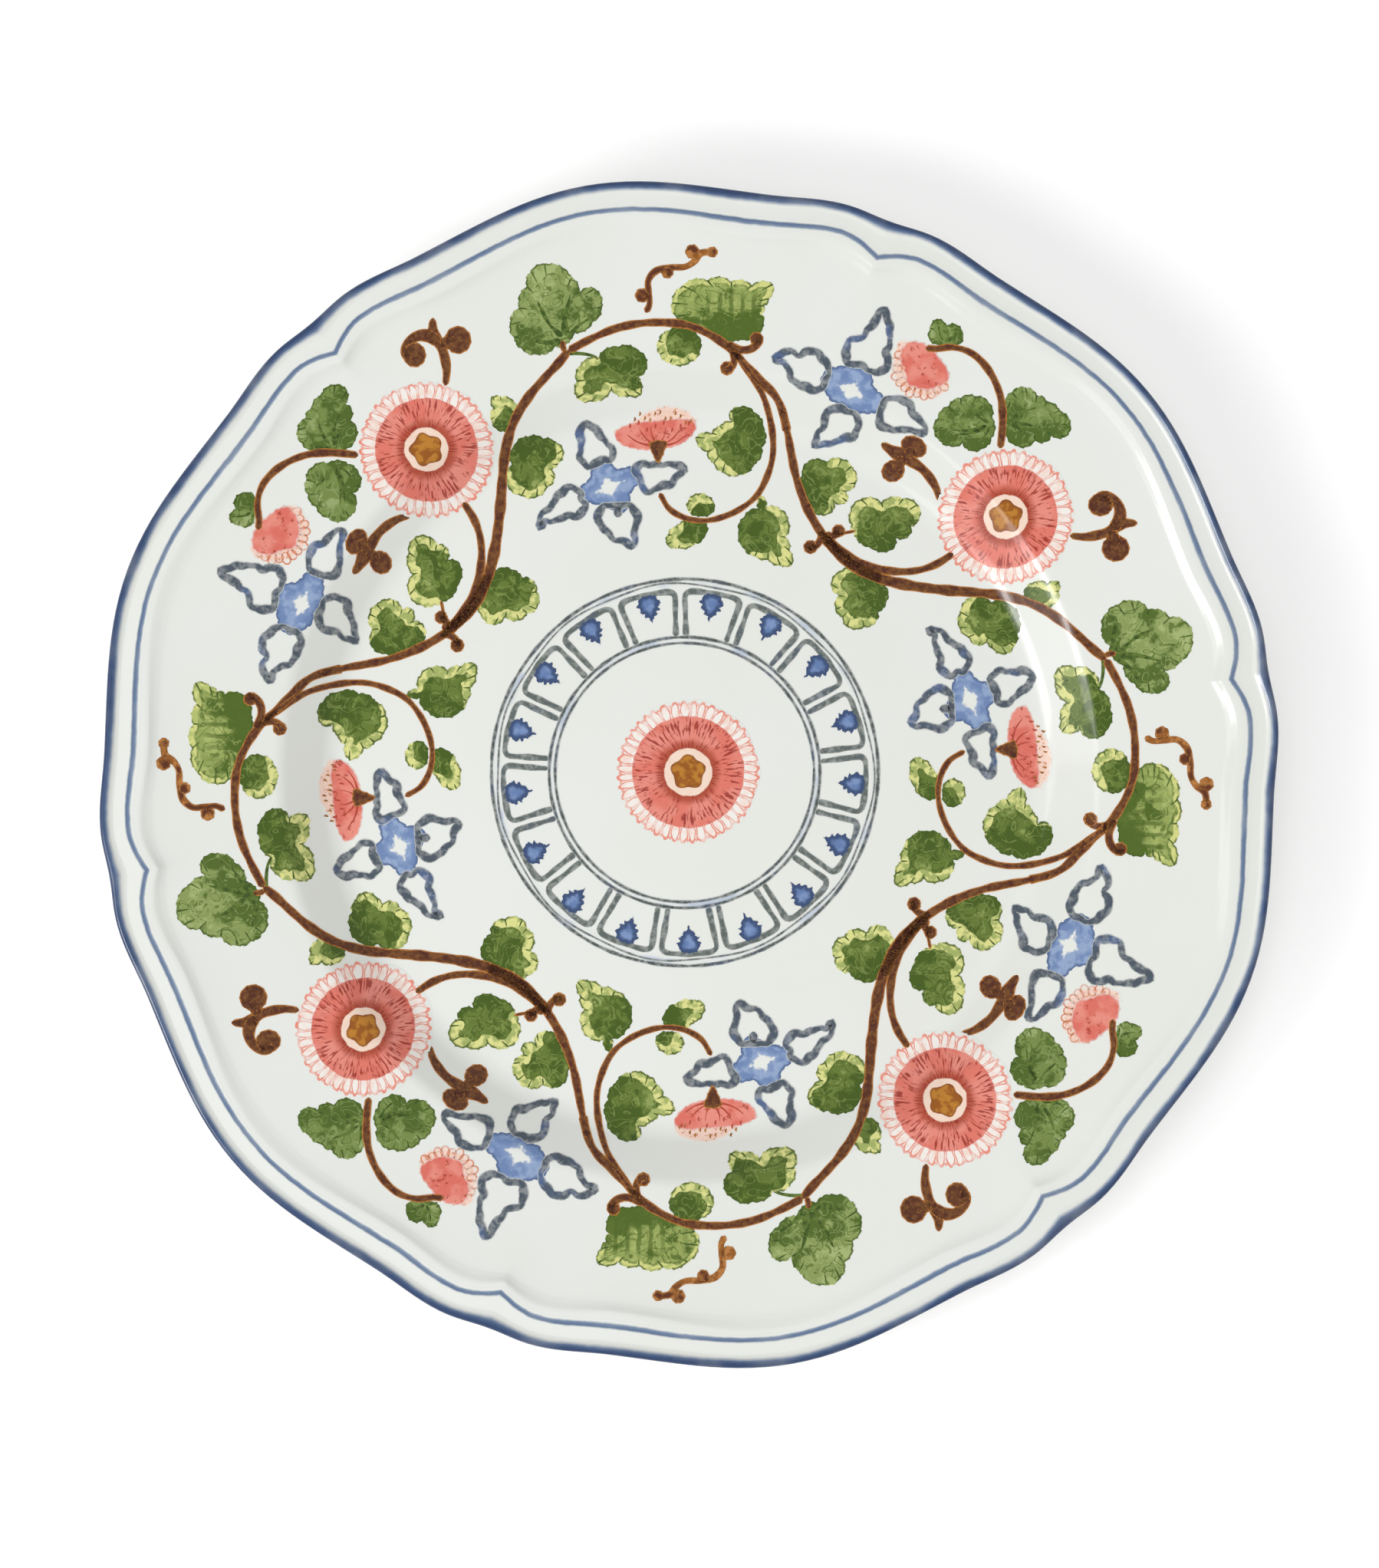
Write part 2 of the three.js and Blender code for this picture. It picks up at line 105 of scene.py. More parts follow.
# How far the whole decoration lies off the plate's middle, and each quadrant off the others.
TRANSFER_SHIFT = np.array((-1.04, 0.52))
QUADRANTS = 4
QUADRANT_TURN = 360 / QUADRANTS
QUADRANT_SLIPS = ((0.2, 0.4), (1.5, -1.6), (-0.2, -0.6), (-0.9, 0.5))
QUADRANT_MIDDLE_ANGLE = 40.0

# Painted lines of the rim: where each starts at a crown, and how far it runs over the china.
EDGE_BAND_START = CROWN_RADIUS - 2.75
EDGE_BAND_RUN = 4.6
VERGE_LINE_RUN = 2.3
VERGE_LINE_START = VERGE_RADIUS - VERGE_LINE_RUN / 2

# The two coral flowers, from their petals' reach in to the heart.
VINE_ROSETTE = {
    "loops": 41, "disc_radius": 11.5, "loop_radius": 15.3, "ring_radius": 4.85, "heart_radius": 3.45,
}
CENTRE_ROSETTE = {
    "loops": 44, "disc_radius": 12.8, "loop_radius": 16.5, "ring_radius": 5.45, "heart_radius": 3.7,
}
VINE_ROSETTE_PLACE = (72.7, 57.8)
CENTRE_ROSETTE_PLACE = (0.6, 0.1)

# The medallion's arched panels.
PANELS = 17
PANEL_TURN = 360 / PANELS
FIRST_PANEL_ANGLE = -88.5
PANEL_FOOT_RADIUS = 31.2
PANEL_MIDDLE_RADIUS = 36.0
PANEL_TOP_RADIUS = 41.6
PANEL_GAP = 1.15


# ---- Curves ------------------------------------------------------------------------------

def ease(share):
    return (1 - np.cos(np.pi * np.clip(share, 0, 1))) / 2


def spline(points, closed=False, per_span=8):
    """A smooth Catmull-Rom curve through the points."""
    p = np.array(points, float)
    ends = (p[-1:], p[:2]) if closed else (2 * p[:1] - p[1:2], 2 * p[-1:] - p[-2:-1])
    p = np.vstack((ends[0], p, ends[1]))
    t = np.linspace(0, 1, per_span, endpoint=False)[:, None]
    spans = []
    for a, b, c, d in zip(p, p[1:], p[2:], p[3:]):
        bend = 2 * b + (c - a) * t + (2 * a - 5 * b + 4 * c - d) * t**2
        spans.append((bend + (3 * b - a - 3 * c + d) * t**3) / 2)
    curve = np.vstack(spans)
    return curve if closed else np.vstack((curve, p[-2:-1]))


def even(points, step, closed=False):
    """Points about one step apart along a polyline."""
    p = np.vstack((points, points[:1])) if closed else np.asarray(points, float)
    lengths = np.concatenate(([0], np.cumsum(np.hypot(*np.diff(p, axis=0).T))))
    count = max(2, round(lengths[-1] / step)) + (0 if closed else 1)
    marks = np.linspace(0, lengths[-1], count, endpoint=not closed)
    return np.column_stack([np.interp(marks, lengths, p[:, axis]) for axis in (0, 1)])


def arc(centre, radius, start, end, steps):
    angles = np.radians(np.linspace(start, end, steps + 1))
    return np.column_stack((centre[0] + radius * np.cos(angles), centre[1] + radius * np.sin(angles)))


def ellipse(centre, half_length, half_width=None, turn=0.0, steps=48):
    angles = np.linspace(0, 2 * np.pi, steps, endpoint=False)
    flat = np.column_stack((half_length * np.cos(angles), (half_width or half_length) * np.sin(angles)))
    return turned(flat, turn) + np.array(centre)


def polar(radius, degrees):
    return radius * math.cos(math.radians(degrees)), radius * math.sin(math.radians(degrees))


def turned(points, degrees):
    c, s = polar(1, degrees)
    return np.asarray(points, float) @ np.array(((c, s), (-s, c)))


def outward_of(outline):
    """Unit vectors that point out of a closed outline listed anticlockwise."""
    run = np.roll(outline, -1, 0) - np.roll(outline, 1, 0)
    return np.column_stack((run[:, 1], -run[:, 0])) / np.maximum(np.hypot(*run.T), 1e-6)[:, None]


# ---- Shape of the plate --------------------------------------------------------------------

def line_radius(line, angle, sharp=True):
    """Radius of a rim line at angles in degrees. A sharp line comes to a point at each notch."""
    notch, shoulder, waist, crown = line
    wrapped = np.mod(np.asarray(angle, float) - FIRST_NOTCH_ANGLE, 2 * CROWN_ANGLE)
    from_notch = np.minimum(wrapped, 2 * CROWN_ANGLE - wrapped)
    rise = np.clip(from_notch / SHOULDER_ANGLE, 0, 1)
    spring = np.sin(np.pi / 2 * rise) if sharp else ease(rise)
    to_waist = ease((from_notch - SHOULDER_ANGLE) / (WAIST_ANGLE - SHOULDER_ANGLE))
    to_crown = ease((from_notch - WAIST_ANGLE) / (CROWN_ANGLE - WAIST_ANGLE))
    offset = notch + (shoulder - notch) * spring + (waist - shoulder) * to_waist
    return MEAN_EDGE_RADIUS + offset + (crown - waist) * to_crown


def rim_marks(angle):
    """Radii of the calm circle and the three rim lines, at the crown and at these angles."""
    at_crown = (CALM_RADIUS, MOULDING_RADIUS, VERGE_RADIUS, CROWN_RADIUS)
    here = (
        np.full_like(np.asarray(angle, float), CALM_RADIUS),
        line_radius(MOULDING_LINE, angle),
        line_radius(VERGE_LINE, angle),
        line_radius(EDGE_LINE, angle, sharp=False),
    )
    return at_crown, here


def remapped(radius, marks_from, marks_to):
    """Moves radii between the rim lines. Radii inside the moulding stay where they are."""
    result = np.array(radius, float)
    for low, high in ((1, 2), (2, 3)):
        share = (radius - marks_from[low]) / (marks_from[high] - marks_from[low])
        moved = marks_to[low] + share * (marks_to[high] - marks_to[low])
        result = np.where(radius > marks_from[low], moved, result)
    return result


def scalloped(crown_radius, angle):
    """Carries a radius of the crown section to the same place in the section at an angle."""
    at_crown, here = rim_marks(angle)
    outer = remapped(crown_radius, at_crown, here)
    share = np.clip((crown_radius - CALM_RADIUS) / (MOULDING_RADIUS - CALM_RADIUS), 0, 1)
    inner = crown_radius + (here[1] - MOULDING_RADIUS) * share**2
    return np.where(crown_radius > MOULDING_RADIUS, outer, inner)


def crown_section_radius(radius, angle):
    """The reverse of scalloped: which radius of the crown section lands at this radius."""
    at_crown, here = rim_marks(angle)
    outer = remapped(radius, here, at_crown)
    run, move = MOULDING_RADIUS - CALM_RADIUS, here[1] - MOULDING_RADIUS
    past = np.clip(radius - CALM_RADIUS, 0, None)
    inner = CALM_RADIUS + 2 * past / (1 + np.sqrt(np.maximum(1 + 4 * past * move / run**2, 0.01)))
    inner = np.where(radius > CALM_RADIUS, inner, radius)
    return np.where(radius > here[1], outer, inner)


def eating_side():
    """(radius, height) over the crown section's eating side, from the middle to the outermost point."""
    floor = np.linspace(0, FLOOR_RADIUS, FLOOR_RINGS + 1)[:-1]
    dish = FLOOR_HEIGHT - FLOOR_DISH * (1 - (floor / FLOOR_RADIUS) ** 2)
    slope, flange = math.degrees(WALL_SLOPE), math.degrees(FLANGE_SLOPE)
    fillet = arc((FLOOR_RADIUS, FLOOR_HEIGHT + FLOOR_FILLET), FLOOR_FILLET, -90, slope - 90, 12)
    centre_x = FLANGE_START_RADIUS + SHOULDER_FILLET * math.sin(FLANGE_SLOPE)
    wall_end = centre_x - SHOULDER_FILLET * math.sin(WALL_SLOPE)
    wall_height = fillet[-1, 1] + (wall_end - fillet[-1, 0]) * math.tan(WALL_SLOPE)
    wall = np.linspace(fillet[-1], (wall_end, wall_height), 8)[1:-1]
    centre = (centre_x, wall_height - SHOULDER_FILLET * math.cos(WALL_SLOPE))
    shoulder = arc(centre, SHOULDER_FILLET, 90 + slope, 90 + flange, 10)
    knots = [shoulder[-1] + along * np.array((1, math.tan(FLANGE_SLOPE))) for along in FLANGE_MARKS]
    cove = ((-4.6, -3.05), (-2.1, -2.38), (-0.5, -1.73), (0.8, -1.25))
    knots += [(MOULDING_RADIUS + across, LIP_HEIGHT + drop) for across, drop in cove]
    knots += [(VERGE_RADIUS, LIP_HEIGHT - VERGE_DROP)]
    lip = (
        (-3.4, -1.15), (-2.5, -1.02), (-1.8, -0.5), (-1.3, -0.1), (-0.9, 0), (-0.45, -0.12),
        (-0.12, -0.45), (0, -0.88),
    )
    knots += [(CROWN_RADIUS + across, LIP_HEIGHT + drop) for across, drop in lip]
    border = spline(knots, per_span=7)[1:]
    return np.vstack((np.column_stack((floor, dish)), fillet, wall, shoulder, border))


EATING_SIDE = eating_side()


def underside():
    """(radius, height) of the crown section's underside, from the outermost point to the middle."""
    flange_start = EATING_SIDE[np.searchsorted(EATING_SIDE[:, 0], FLANGE_START_RADIUS)]

    def under_flange(radius):
        rise = (radius - FLANGE_START_RADIUS) * math.tan(FLANGE_SLOPE)
        return radius, flange_start[1] - CHINA_THICKNESS + rise

    lip = [(CROWN_RADIUS - 0.25, LIP_HEIGHT - 1.5), (CROWN_RADIUS - 1.2, LIP_HEIGHT - 2.4)]
    flange = [under_flange(radius) for radius in (127, 120, 112, 104, 97)]
    ankle = [(89.5, 8.1), (85.2, 5.2), (82.3, 3.7), (81.3, 2.4), (80.9, 1.0)]
    foot = [
        (FOOT_OUTER_RADIUS, 0.2), (FOOT_OUTER_RADIUS - FOOT_ROUNDING, 0.02),
        (FOOT_INNER_RADIUS + FOOT_ROUNDING, 0.02), (FOOT_INNER_RADIUS, 0.2),
    ]
    inside = [(76.9, 1.3), (76.2, 2.4), (74.6, FOOT_RECESS_DEPTH)]
    recess = [(radius, FOOT_RECESS_DEPTH) for radius in (68, 45, 20, 0)]
    knots = [tuple(EATING_SIDE[-1])] + lip + flange + ankle + foot + inside + recess
    return spline(knots, per_span=4)[1:]


UNDERSIDE = underside()


def surface_height(points):
    """Height of the eating side over points of the plan."""
    radius = np.hypot(points[:, 0], points[:, 1])
    angle = np.degrees(np.arctan2(points[:, 1], points[:, 0]))
    return np.interp(crown_section_radius(radius, angle), EATING_SIDE[:, 0], EATING_SIDE[:, 1])


# ---- Meshes ------------------------------------------------------------------------------

def new_piece(name, vertices, faces, material, replaces, paint=None):
    mesh = bpy.data.meshes.new(name)
    mesh.from_pydata((np.asarray(vertices) * MM).tolist(), [], faces)
    mesh.validate()
    mesh.polygons.foreach_set("use_smooth", [True] * len(mesh.polygons))
    mesh.set_sharp_from_angle(angle=SHARP_ANGLE)
    if paint is not None:
        mesh.attributes.new("paint", "FLOAT_VECTOR", "POINT").data.foreach_set("vector", paint.ravel())
    mesh.materials.append(material)
    piece = bpy.data.objects.new(name, mesh)
    bpy.context.scene.collection.objects.link(piece)
    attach(piece, "root")
    if replaces:
        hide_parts(*replaces)
    return piece


def ring_angles():
    """Angles round the plate in degrees, closer together at the notches."""
    crowding = 1.35
    half = CROWN_ANGLE * np.linspace(0, 1, HALF_LOBE_STEPS + 1) ** crowding
    lobe = np.concatenate((half, 2 * CROWN_ANGLE - half[-2:0:-1]))
    starts = FIRST_NOTCH_ANGLE + 2 * CROWN_ANGLE * np.arange(LOBES)
    return (starts[:, None] + lobe[None, :]).ravel()


def turned_rings(section, angles):
    """Vertices of a section carried round the scalloped outline, one ring for each point of it."""
    radii = scalloped(section[:, 0][:, None], angles[None, :])
    heights = np.repeat(section[:, 1][:, None], len(angles), axis=1)
    x, y = radii * np.cos(np.radians(angles)), radii * np.sin(np.radians(angles))
    return np.stack((x, y, heights), axis=-1).reshape(-1, 3)


def ring_faces(rings, count, closed=False):
    faces = []
    for ring in range(rings if closed else rings - 1):
        inner, outer = ring * count, (ring + 1) % rings * count
        for step in range(count):
            after = (step + 1) % count
            faces.append((inner + step, outer + step, outer + after, inner + after))
    return faces


def china_body():
    """The china as one closed body, with a single vertex at each end of its axis."""
    angles = ring_angles()
    section = np.vstack((EATING_SIDE[1:], UNDERSIDE[:-1]))
    vertices = turned_rings(section, angles)
    count, rings = len(angles), len(section)
    faces = ring_faces(rings, count)
    top, bottom = len(vertices), len(vertices) + 1
    poles = ((0, 0, EATING_SIDE[0, 1]), (0, 0, FOOT_RECESS_DEPTH))
    last = (rings - 1) * count
    for step in range(count):
        after = (step + 1) % count
        faces.append((top, step, after))
        faces.append((bottom, last + after, last + step))
    vertices = np.vstack((vertices, poles))
    return new_piece("china_body", vertices, faces, china_glaze(), ["plate_body"])


def rim_run(start, length, count):
    """Evenly spaced points along the rim's section from a radius outwards, and their normals."""
    above = EATING_SIDE[EATING_SIDE[:, 0] > start - 1]
    below = spline([tuple(point) for point in (EATING_SIDE[-1], *UNDERSIDE[:12])], per_span=3)
    whole = np.vstack((above, below[1:]))
    lengths = np.concatenate(([0], np.cumsum(np.hypot(*np.diff(whole, axis=0).T))))
    first = np.interp(start, above[:, 0], lengths[: len(above)])
    marks = np.linspace(first, first + length, count)
    run = np.column_stack([np.interp(marks, lengths, whole[:, axis]) for axis in (0, 1)])
    along = np.gradient(run, axis=0)
    normals = np.column_stack((-along[:, 1], along[:, 0]))
    return run, normals / np.hypot(*normals.T)[:, None]


def rim_ring(name, start, length, count, material, node):
    """A painted line that follows the scalloped rim, from a radius outwards over the china."""
    angles = ring_angles()
    section, normals = rim_run(start, length, count)
    loop = np.vstack(((section + normals * LAYER_LIFT)[::-1], section - normals * LAYER_ROOT))
    vertices = turned_rings(loop, angles)
    faces = ring_faces(len(loop), len(angles), closed=True)
    across = np.linspace(0, length, count)
    paint = np.zeros((len(vertices), 3))
    paint[:, 2] = np.repeat(np.concatenate((across[::-1], across)), len(angles))
    return new_piece(name, vertices, faces, material, [node], paint)


# ---- Drawing the decoration ----------------------------------------------------------------
# A patch is (points, faces, paint). Paint holds two coordinates, along and across a stroke or from
# the middle of a filled shape, and the distance to the patch's edge. All are in millimetres, apart
# from a shape's coordinates where blob gives them as shares of its reach.

STROKE_ACROSS = np.array((1, 0.62, 0, -0.62, -1))


def ribbon(points, width, closed=False, step=0.6, wobble=0.08, seed=0, ends=(1.0, 1.0)):
    """A brush stroke along a curve, with round ends and a hand-painted unevenness."""
    line = even(spline(points, closed), step, closed)
    count = len(line)
    along = np.arange(count) * step
    around = np.roll(line, -1, 0) - np.roll(line, 1, 0) if closed else np.gradient(line, axis=0)
    tangent = around / np.hypot(*around.T)[:, None]
    waver = np.sin(along / 1.9 + seed) + 0.7 * np.sin(along / 0.83 + 2.3 * seed)
    half = width / 2 * (1 + wobble * waver)
    if not closed:
        half *= np.linspace(ends[0], ends[1], count)
        end_radius = width * 0.45
        from_end = np.clip(np.minimum(along, along[::-1]) / end_radius, 0.05, 1)
        half *= np.sqrt(1 - (1 - from_end) ** 2)
    normal = np.column_stack((-tangent[:, 1], tangent[:, 0]))
    sideways = half[:, None] * STROKE_ACROSS[None, :]
    grid = line[:, None, :] + normal[:, None, :] * sideways[:, :, None]
    columns = len(STROKE_ACROSS)
    faces = []
    for row in range(count if closed else count - 1):
        here, there = row * columns, (row + 1) % count * columns
        for column in range(columns - 1):
            faces.append((here + column, here + column + 1, there + column + 1, there + column))
    edge = half[:, None] * (1 - np.abs(STROKE_ACROSS))[None, :]
    paint = np.stack((np.repeat(along[:, None], columns, 1), sideways, edge), axis=-1)
    return grid.reshape(-1, 2), faces, paint.reshape(-1, 3)


def edge_distance(points, outline):
    """Distance from each point to the nearest side of a closed outline."""
    start, end = outline, np.roll(outline, -1, 0)
    run = end - start
    offset = points[:, None, :] - start[None, :, :]
    share = np.clip((offset * run).sum(2) / np.maximum((run * run).sum(1), 1e-9), 0, 1)
    gap = offset - share[:, :, None] * run[None, :, :]
    return np.sqrt((gap**2).sum(2)).min(1)


def is_inside(points, outline):
    """Whether each point lies inside a closed outline, by counting the sides to its right."""
    x, y = points[:, 0][:, None], points[:, 1][:, None]
    x0, y0 = outline[:, 0][None, :], outline[:, 1][None, :]
    x1, y1 = np.roll(outline[:, 0], -1)[None, :], np.roll(outline[:, 1], -1)[None, :]
    crosses = (y0 > y) != (y1 > y)
    rise = np.where(y1 == y0, 1e-9, y1 - y0)
    hits = crosses & (x < (x1 - x0) * (y - y0) / rise + x0)
    return hits.sum(1) % 2 == 1


# As shares of the grid: the spacing of rows of equilateral triangles, and how far their corners
# stay from the outline.
ROW_SPACING = 0.866
EDGE_CLEARANCE = 0.4


def blob(outline, grid=1.0, centre=None, turn=0.0, shares=False):
    """A filled shape, triangulated finely enough to follow the china.

    Its paint is measured from centre along axes turned by turn, in millimetres or, with shares,
    as shares of the shape's reach along each axis.
    """
    outline = np.asarray(outline, float)
    low, high = outline.min(0), outline.max(0)
    rows = np.arange(low[1], high[1], grid * ROW_SPACING)
    seeds = np.array([
        (x + (grid / 2 if index % 2 else 0), y)
        for index, y in enumerate(rows)
        for x in np.arange(low[0], high[0], grid)
    ])
    seeds = seeds[is_inside(seeds, outline)]
    if len(seeds):
        seeds = seeds[edge_distance(seeds, outline) > grid * EDGE_CLEARANCE]
    points = [Vector(point) for point in np.vstack((outline, seeds.reshape(-1, 2)))]
    edges = [(i, (i + 1) % len(outline)) for i in range(len(outline))]
    found = delaunay_2d_cdt(points, edges, [], 1, 1e-4)
    flat = np.array([tuple(point) for point in found[0]])
    faces = [tuple(face) for face in found[2]]
    local = turned(flat - ((low + high) / 2 if centre is None else np.array(centre)), -turn)
    if shares:
        local = local / np.abs(local).max(0)
    return flat, faces, np.column_stack((local, edge_distance(flat, outline)))


def quadrant_slip(points):
    """How far the quadrants' transfers slipped as they were laid, blended into each other."""
    angle = np.arctan2(points[:, 1], points[:, 0])
    slip = np.zeros_like(points)
    for quadrant, offset in enumerate(QUADRANT_SLIPS):
        middle = math.radians(QUADRANT_MIDDLE_ANGLE - QUADRANT_TURN * quadrant)
        slip += np.clip(np.cos(angle - middle), 0, 1)[:, None] ** 2 * offset
    return slip


def film(name, patches, material, turn=0.0, level=0, replaces=(), slips=False):
    """Lays patches on the china as thin closed layers. Higher levels lie over lower ones."""
    lift = LAYER_LIFT + LEVEL_LIFT * level
    vertices, faces, paints, first = [], [], [], 0
    for flat, patch_faces, paint in patches:
        placed = turned(flat, turn)
        placed = placed + TRANSFER_SHIFT + (quadrant_slip(placed) if slips else 0)
        height = surface_height(placed)
        count = len(flat)
        vertices.append(np.column_stack((placed, height + lift)))
        vertices.append(np.column_stack((placed, height - LAYER_ROOT)))
        paints += [paint, paint]
        for face in patch_faces:
            faces.append(tuple(first + corner for corner in face))
            faces.append(tuple(first + count + corner for corner in reversed(face)))
        sides = dict.fromkeys(side for face in patch_faces for side in zip(face, face[1:] + face[:1]))
        for a, b in sides:
            if (b, a) not in sides:
                faces.append((first + count + a, first + count + b, first + b, first + a))
        first += 2 * count
    return new_piece(name, np.vstack(vertices), faces, material, replaces, np.vstack(paints))


def scallops(notches):
    """A closed outline of rounded lobes that meet at the notches, listed anticlockwise."""
    bulge, step = 0.17, 0.45
    notches = np.array(notches, float)
    outline = []
    for a, b in zip(notches, np.roll(notches, -1, 0)):
        chord = b - a
        length = math.hypot(*chord)
        outward = np.array((chord[1], -chord[0])) / length
        steps = max(2, round(length / step))
        for share in np.arange(steps) / steps:
            rise = bulge * length * 4 * share * (1 - share)
            outline.append(a + chord * share + outward * rise)
    return np.array(outline)


def ragged(outline, amount=0.12, seed=0):
    """Roughens an outline the way a printed edge is rough."""
    steps = np.arange(len(outline))
    wave = np.sin(steps * 1.7 + seed) + 0.6 * np.sin(steps * 2.9 + 1.3 * seed)
    return outline + outward_of(outline) * (amount * wave)[:, None]


def ruffled(outline, amount, pitch):
    """Adds small uneven waves, about a pitch long, along a closed outline."""
    step = 0.5
    line = even(spline(outline, closed=True), step, closed=True)
    waves = round(len(line) * step / pitch)
    phase = np.linspace(0, 2 * np.pi * waves, len(line), endpoint=False)
    wave = np.sin(phase) + 0.6 * np.sin(2 * phase + waves)
    return line + outward_of(line) * (amount * wave)[:, None]


def smooth_blob(points, amount=0.1, grid=1.0):
    return blob(ragged(even(spline(points, closed=True), 0.5, closed=True), amount, seed=1), grid=grid)


def bead(centre, radius, steps, amount, grid):
    """A small round dab of paint."""
    return blob(ragged(ellipse(centre, radius, steps=steps), amount), grid=grid)


# ---- Materials -----------------------------------------------------------------------------

GLAZE_VEIL = 0.022
GLAZE_ROUGHNESS = 0.09
GLAZE_IOR = 1.5
RIPPLE_DEPTH = 0.06 * MM
BARE_ROUGHNESS = 0.75
BARE_BELOW = 0.35 * MM
GLAZED_ABOVE = 0.6 * MM
DARKEST = 0.004


def linear(value):
    """The linear light of a display value from 0 to 255."""
    share = value / 255
    return share / 12.92 if share <= 0.04045 else ((share + 0.055) / 1.055) ** 2.4


def fired(red, green, blue):
    """A colour as it is seen through the glaze, less the veil of light that the glaze adds."""
    return tuple(max(DARKEST, linear(value) - GLAZE_VEIL) for value in (red, green, blue)) + (1.0,)


WHITE = (0.735, 0.752, 0.716, 1.0)
WHITE_WARM = (0.728, 0.741, 0.700, 1.0)


class Nodes:
    """Short calls for building a glazed-ceramic material."""

    def __init__(self, name):
        self.material = bpy.data.materials.new(name)
        self.material.use_nodes = True
        self.tree = self.material.node_tree
        self.shader = self.tree.nodes["Principled BSDF"]
        self.object = self.tree.nodes.new("ShaderNodeTexCoord").outputs["Object"]

    def put(self, kind, inputs=(), **settings):
        node = self.tree.nodes.new("ShaderNode" + kind)
        for key, value in settings.items():
            setattr(node, key, value)
        for key, value in dict(inputs).items():
            if isinstance(value, bpy.types.NodeSocket):
                self.tree.links.new(value, node.inputs[key])
            else:
                node.inputs[key].default_value = value
        return node

    def math(self, operation, a, b=0.0):
        return self.put("Math", {0: a, 1: b}, operation=operation).outputs[0]

    def step(self, value, low, high, to_low=0.0, to_high=1.0):
        """A soft step: to_low below low, to_high above high."""
        inputs = {"Value": value, "From Min": low, "From Max": high, "To Min": to_low, "To Max": to_high}
        return self.put("MapRange", inputs, interpolation_type="SMOOTHSTEP").outputs[0]

    def mix(self, share, a, b):
        return self.put("Mix", {0: share, 6: a, 7: b}, data_type="RGBA").outputs[2]

    def noise(self, size, detail=2.0, roughness=0.5, distortion=0.0):
        """Noise between about 0.3 and 0.7, whose patches measure about size millimetres."""
        inputs = {
            "Vector": self.object, "Scale": 1 / (size * MM), "Detail": detail,
            "Roughness": roughness, "Distortion": distortion,
        }
        return self.put("TexNoise", inputs).outputs["Fac"]

    def patches(self, size, detail, low, high, to_low=0.0, to_high=1.0, roughness=0.5):
        """Soft-edged patches: noise of one size, put through a soft step."""
        return self.step(self.noise(size, detail, roughness), low, high, to_low, to_high)

    def grain(self, size, detail, roughness=0.5):
        """Noise less its average."""
        return self.math("SUBTRACT", self.noise(size, detail, roughness), 0.5)

    def drift(self, size, detail, amount):
        """An offset that averages zero and stays well within half the amount."""
        return self.product(self.grain(size, detail), amount)

    def paint(self):
        """The paint attribute's parts: two coordinates, and the distance to the patch's edge."""
        vector = self.put("Attribute", attribute_name="paint").outputs["Vector"]
        return self.put("SeparateXYZ", {0: vector}).outputs

    def total(self, *values):
        return functools.reduce(functools.partial(self.math, "ADD"), values)

    def product(self, *values):
        return functools.reduce(functools.partial(self.math, "MULTIPLY"), values)

    def band(self, value, low, high, soft):
        """One between low and high, fading to nothing within soft beyond either."""
        rise = self.step(value, low - soft, low)
        fall = self.step(value, high, high + soft, 1.0, 0.0)
        return self.product(rise, fall)

    def white(self):
        """The glazed white ground, with its faint drifts of tone."""
        return self.mix(self.patches(38, 2, 0.35, 0.65), WHITE, WHITE_WARM)

    def over_white(self, cover, colour):
        """Finishes a colour that lets the white ground through where its cover is thin."""
        return self.finish(self.mix(cover, self.white(), colour))

    def finish(self, colour, roughness=GLAZE_ROUGHNESS):
        """Puts the clear glaze over a colour: glossy, and very slightly wavy."""
        ripple = self.total(self.noise(17, 1), self.product(self.noise(3.2, 1), 0.07))
        bump = self.put("Bump", {"Strength": 0.5, "Distance": RIPPLE_DEPTH, "Height": ripple})
        self.tree.links.new(bump.outputs[0], self.shader.inputs["Normal"])
        self.tree.links.new(colour, self.shader.inputs["Base Color"])
        if isinstance(roughness, bpy.types.NodeSocket):
            self.tree.links.new(roughness, self.shader.inputs["Roughness"])
        else:
            self.shader.inputs["Roughness"].default_value = roughness
        self.shader.inputs["IOR"].default_value = GLAZE_IOR
        return self.material


def china_glaze():
    """White glaze, with the bare ground foot showing as matt, slightly grey ceramic."""
    n = Nodes("china_glaze")
    height = n.put("SeparateXYZ", {0: n.object}).outputs[2]
    bare = n.step(height, BARE_BELOW, GLAZED_ABOVE, 1.0, 0.0)
    grain = n.mix(n.noise(0.5, 3), (0.55, 0.52, 0.46, 1), (0.66, 0.64, 0.58, 1))
    colour = n.mix(bare, n.white(), grain)
    roughness = n.step(height, BARE_BELOW, GLAZED_ABOVE, BARE_ROUGHNESS, GLAZE_ROUGHNESS)
    return n.finish(colour, roughness)


def rim_blue(name, body_colour, deep_colour, soft_in, soft_out, pooled, wander):
    """A brushed blue line, fading into the white at its sides and deepening where it pools.

    Each pair of millimetres across the line says where a change starts and where it is complete.
    """
    n = Nodes(name)
    across = n.paint()[2]
    place = n.total(across, n.drift(2.6, 3, 0.35), n.drift(14, 1, wander))
    sides = n.product(n.step(place, *soft_in), n.step(place, *soft_out, 1.0, 0.0))
    cover = n.product(sides, n.patches(9, 2, 0.2, 0.6, 0.86, 1.0))
    return n.over_white(cover, n.mix(n.step(place, *pooled), body_colour, deep_colour))


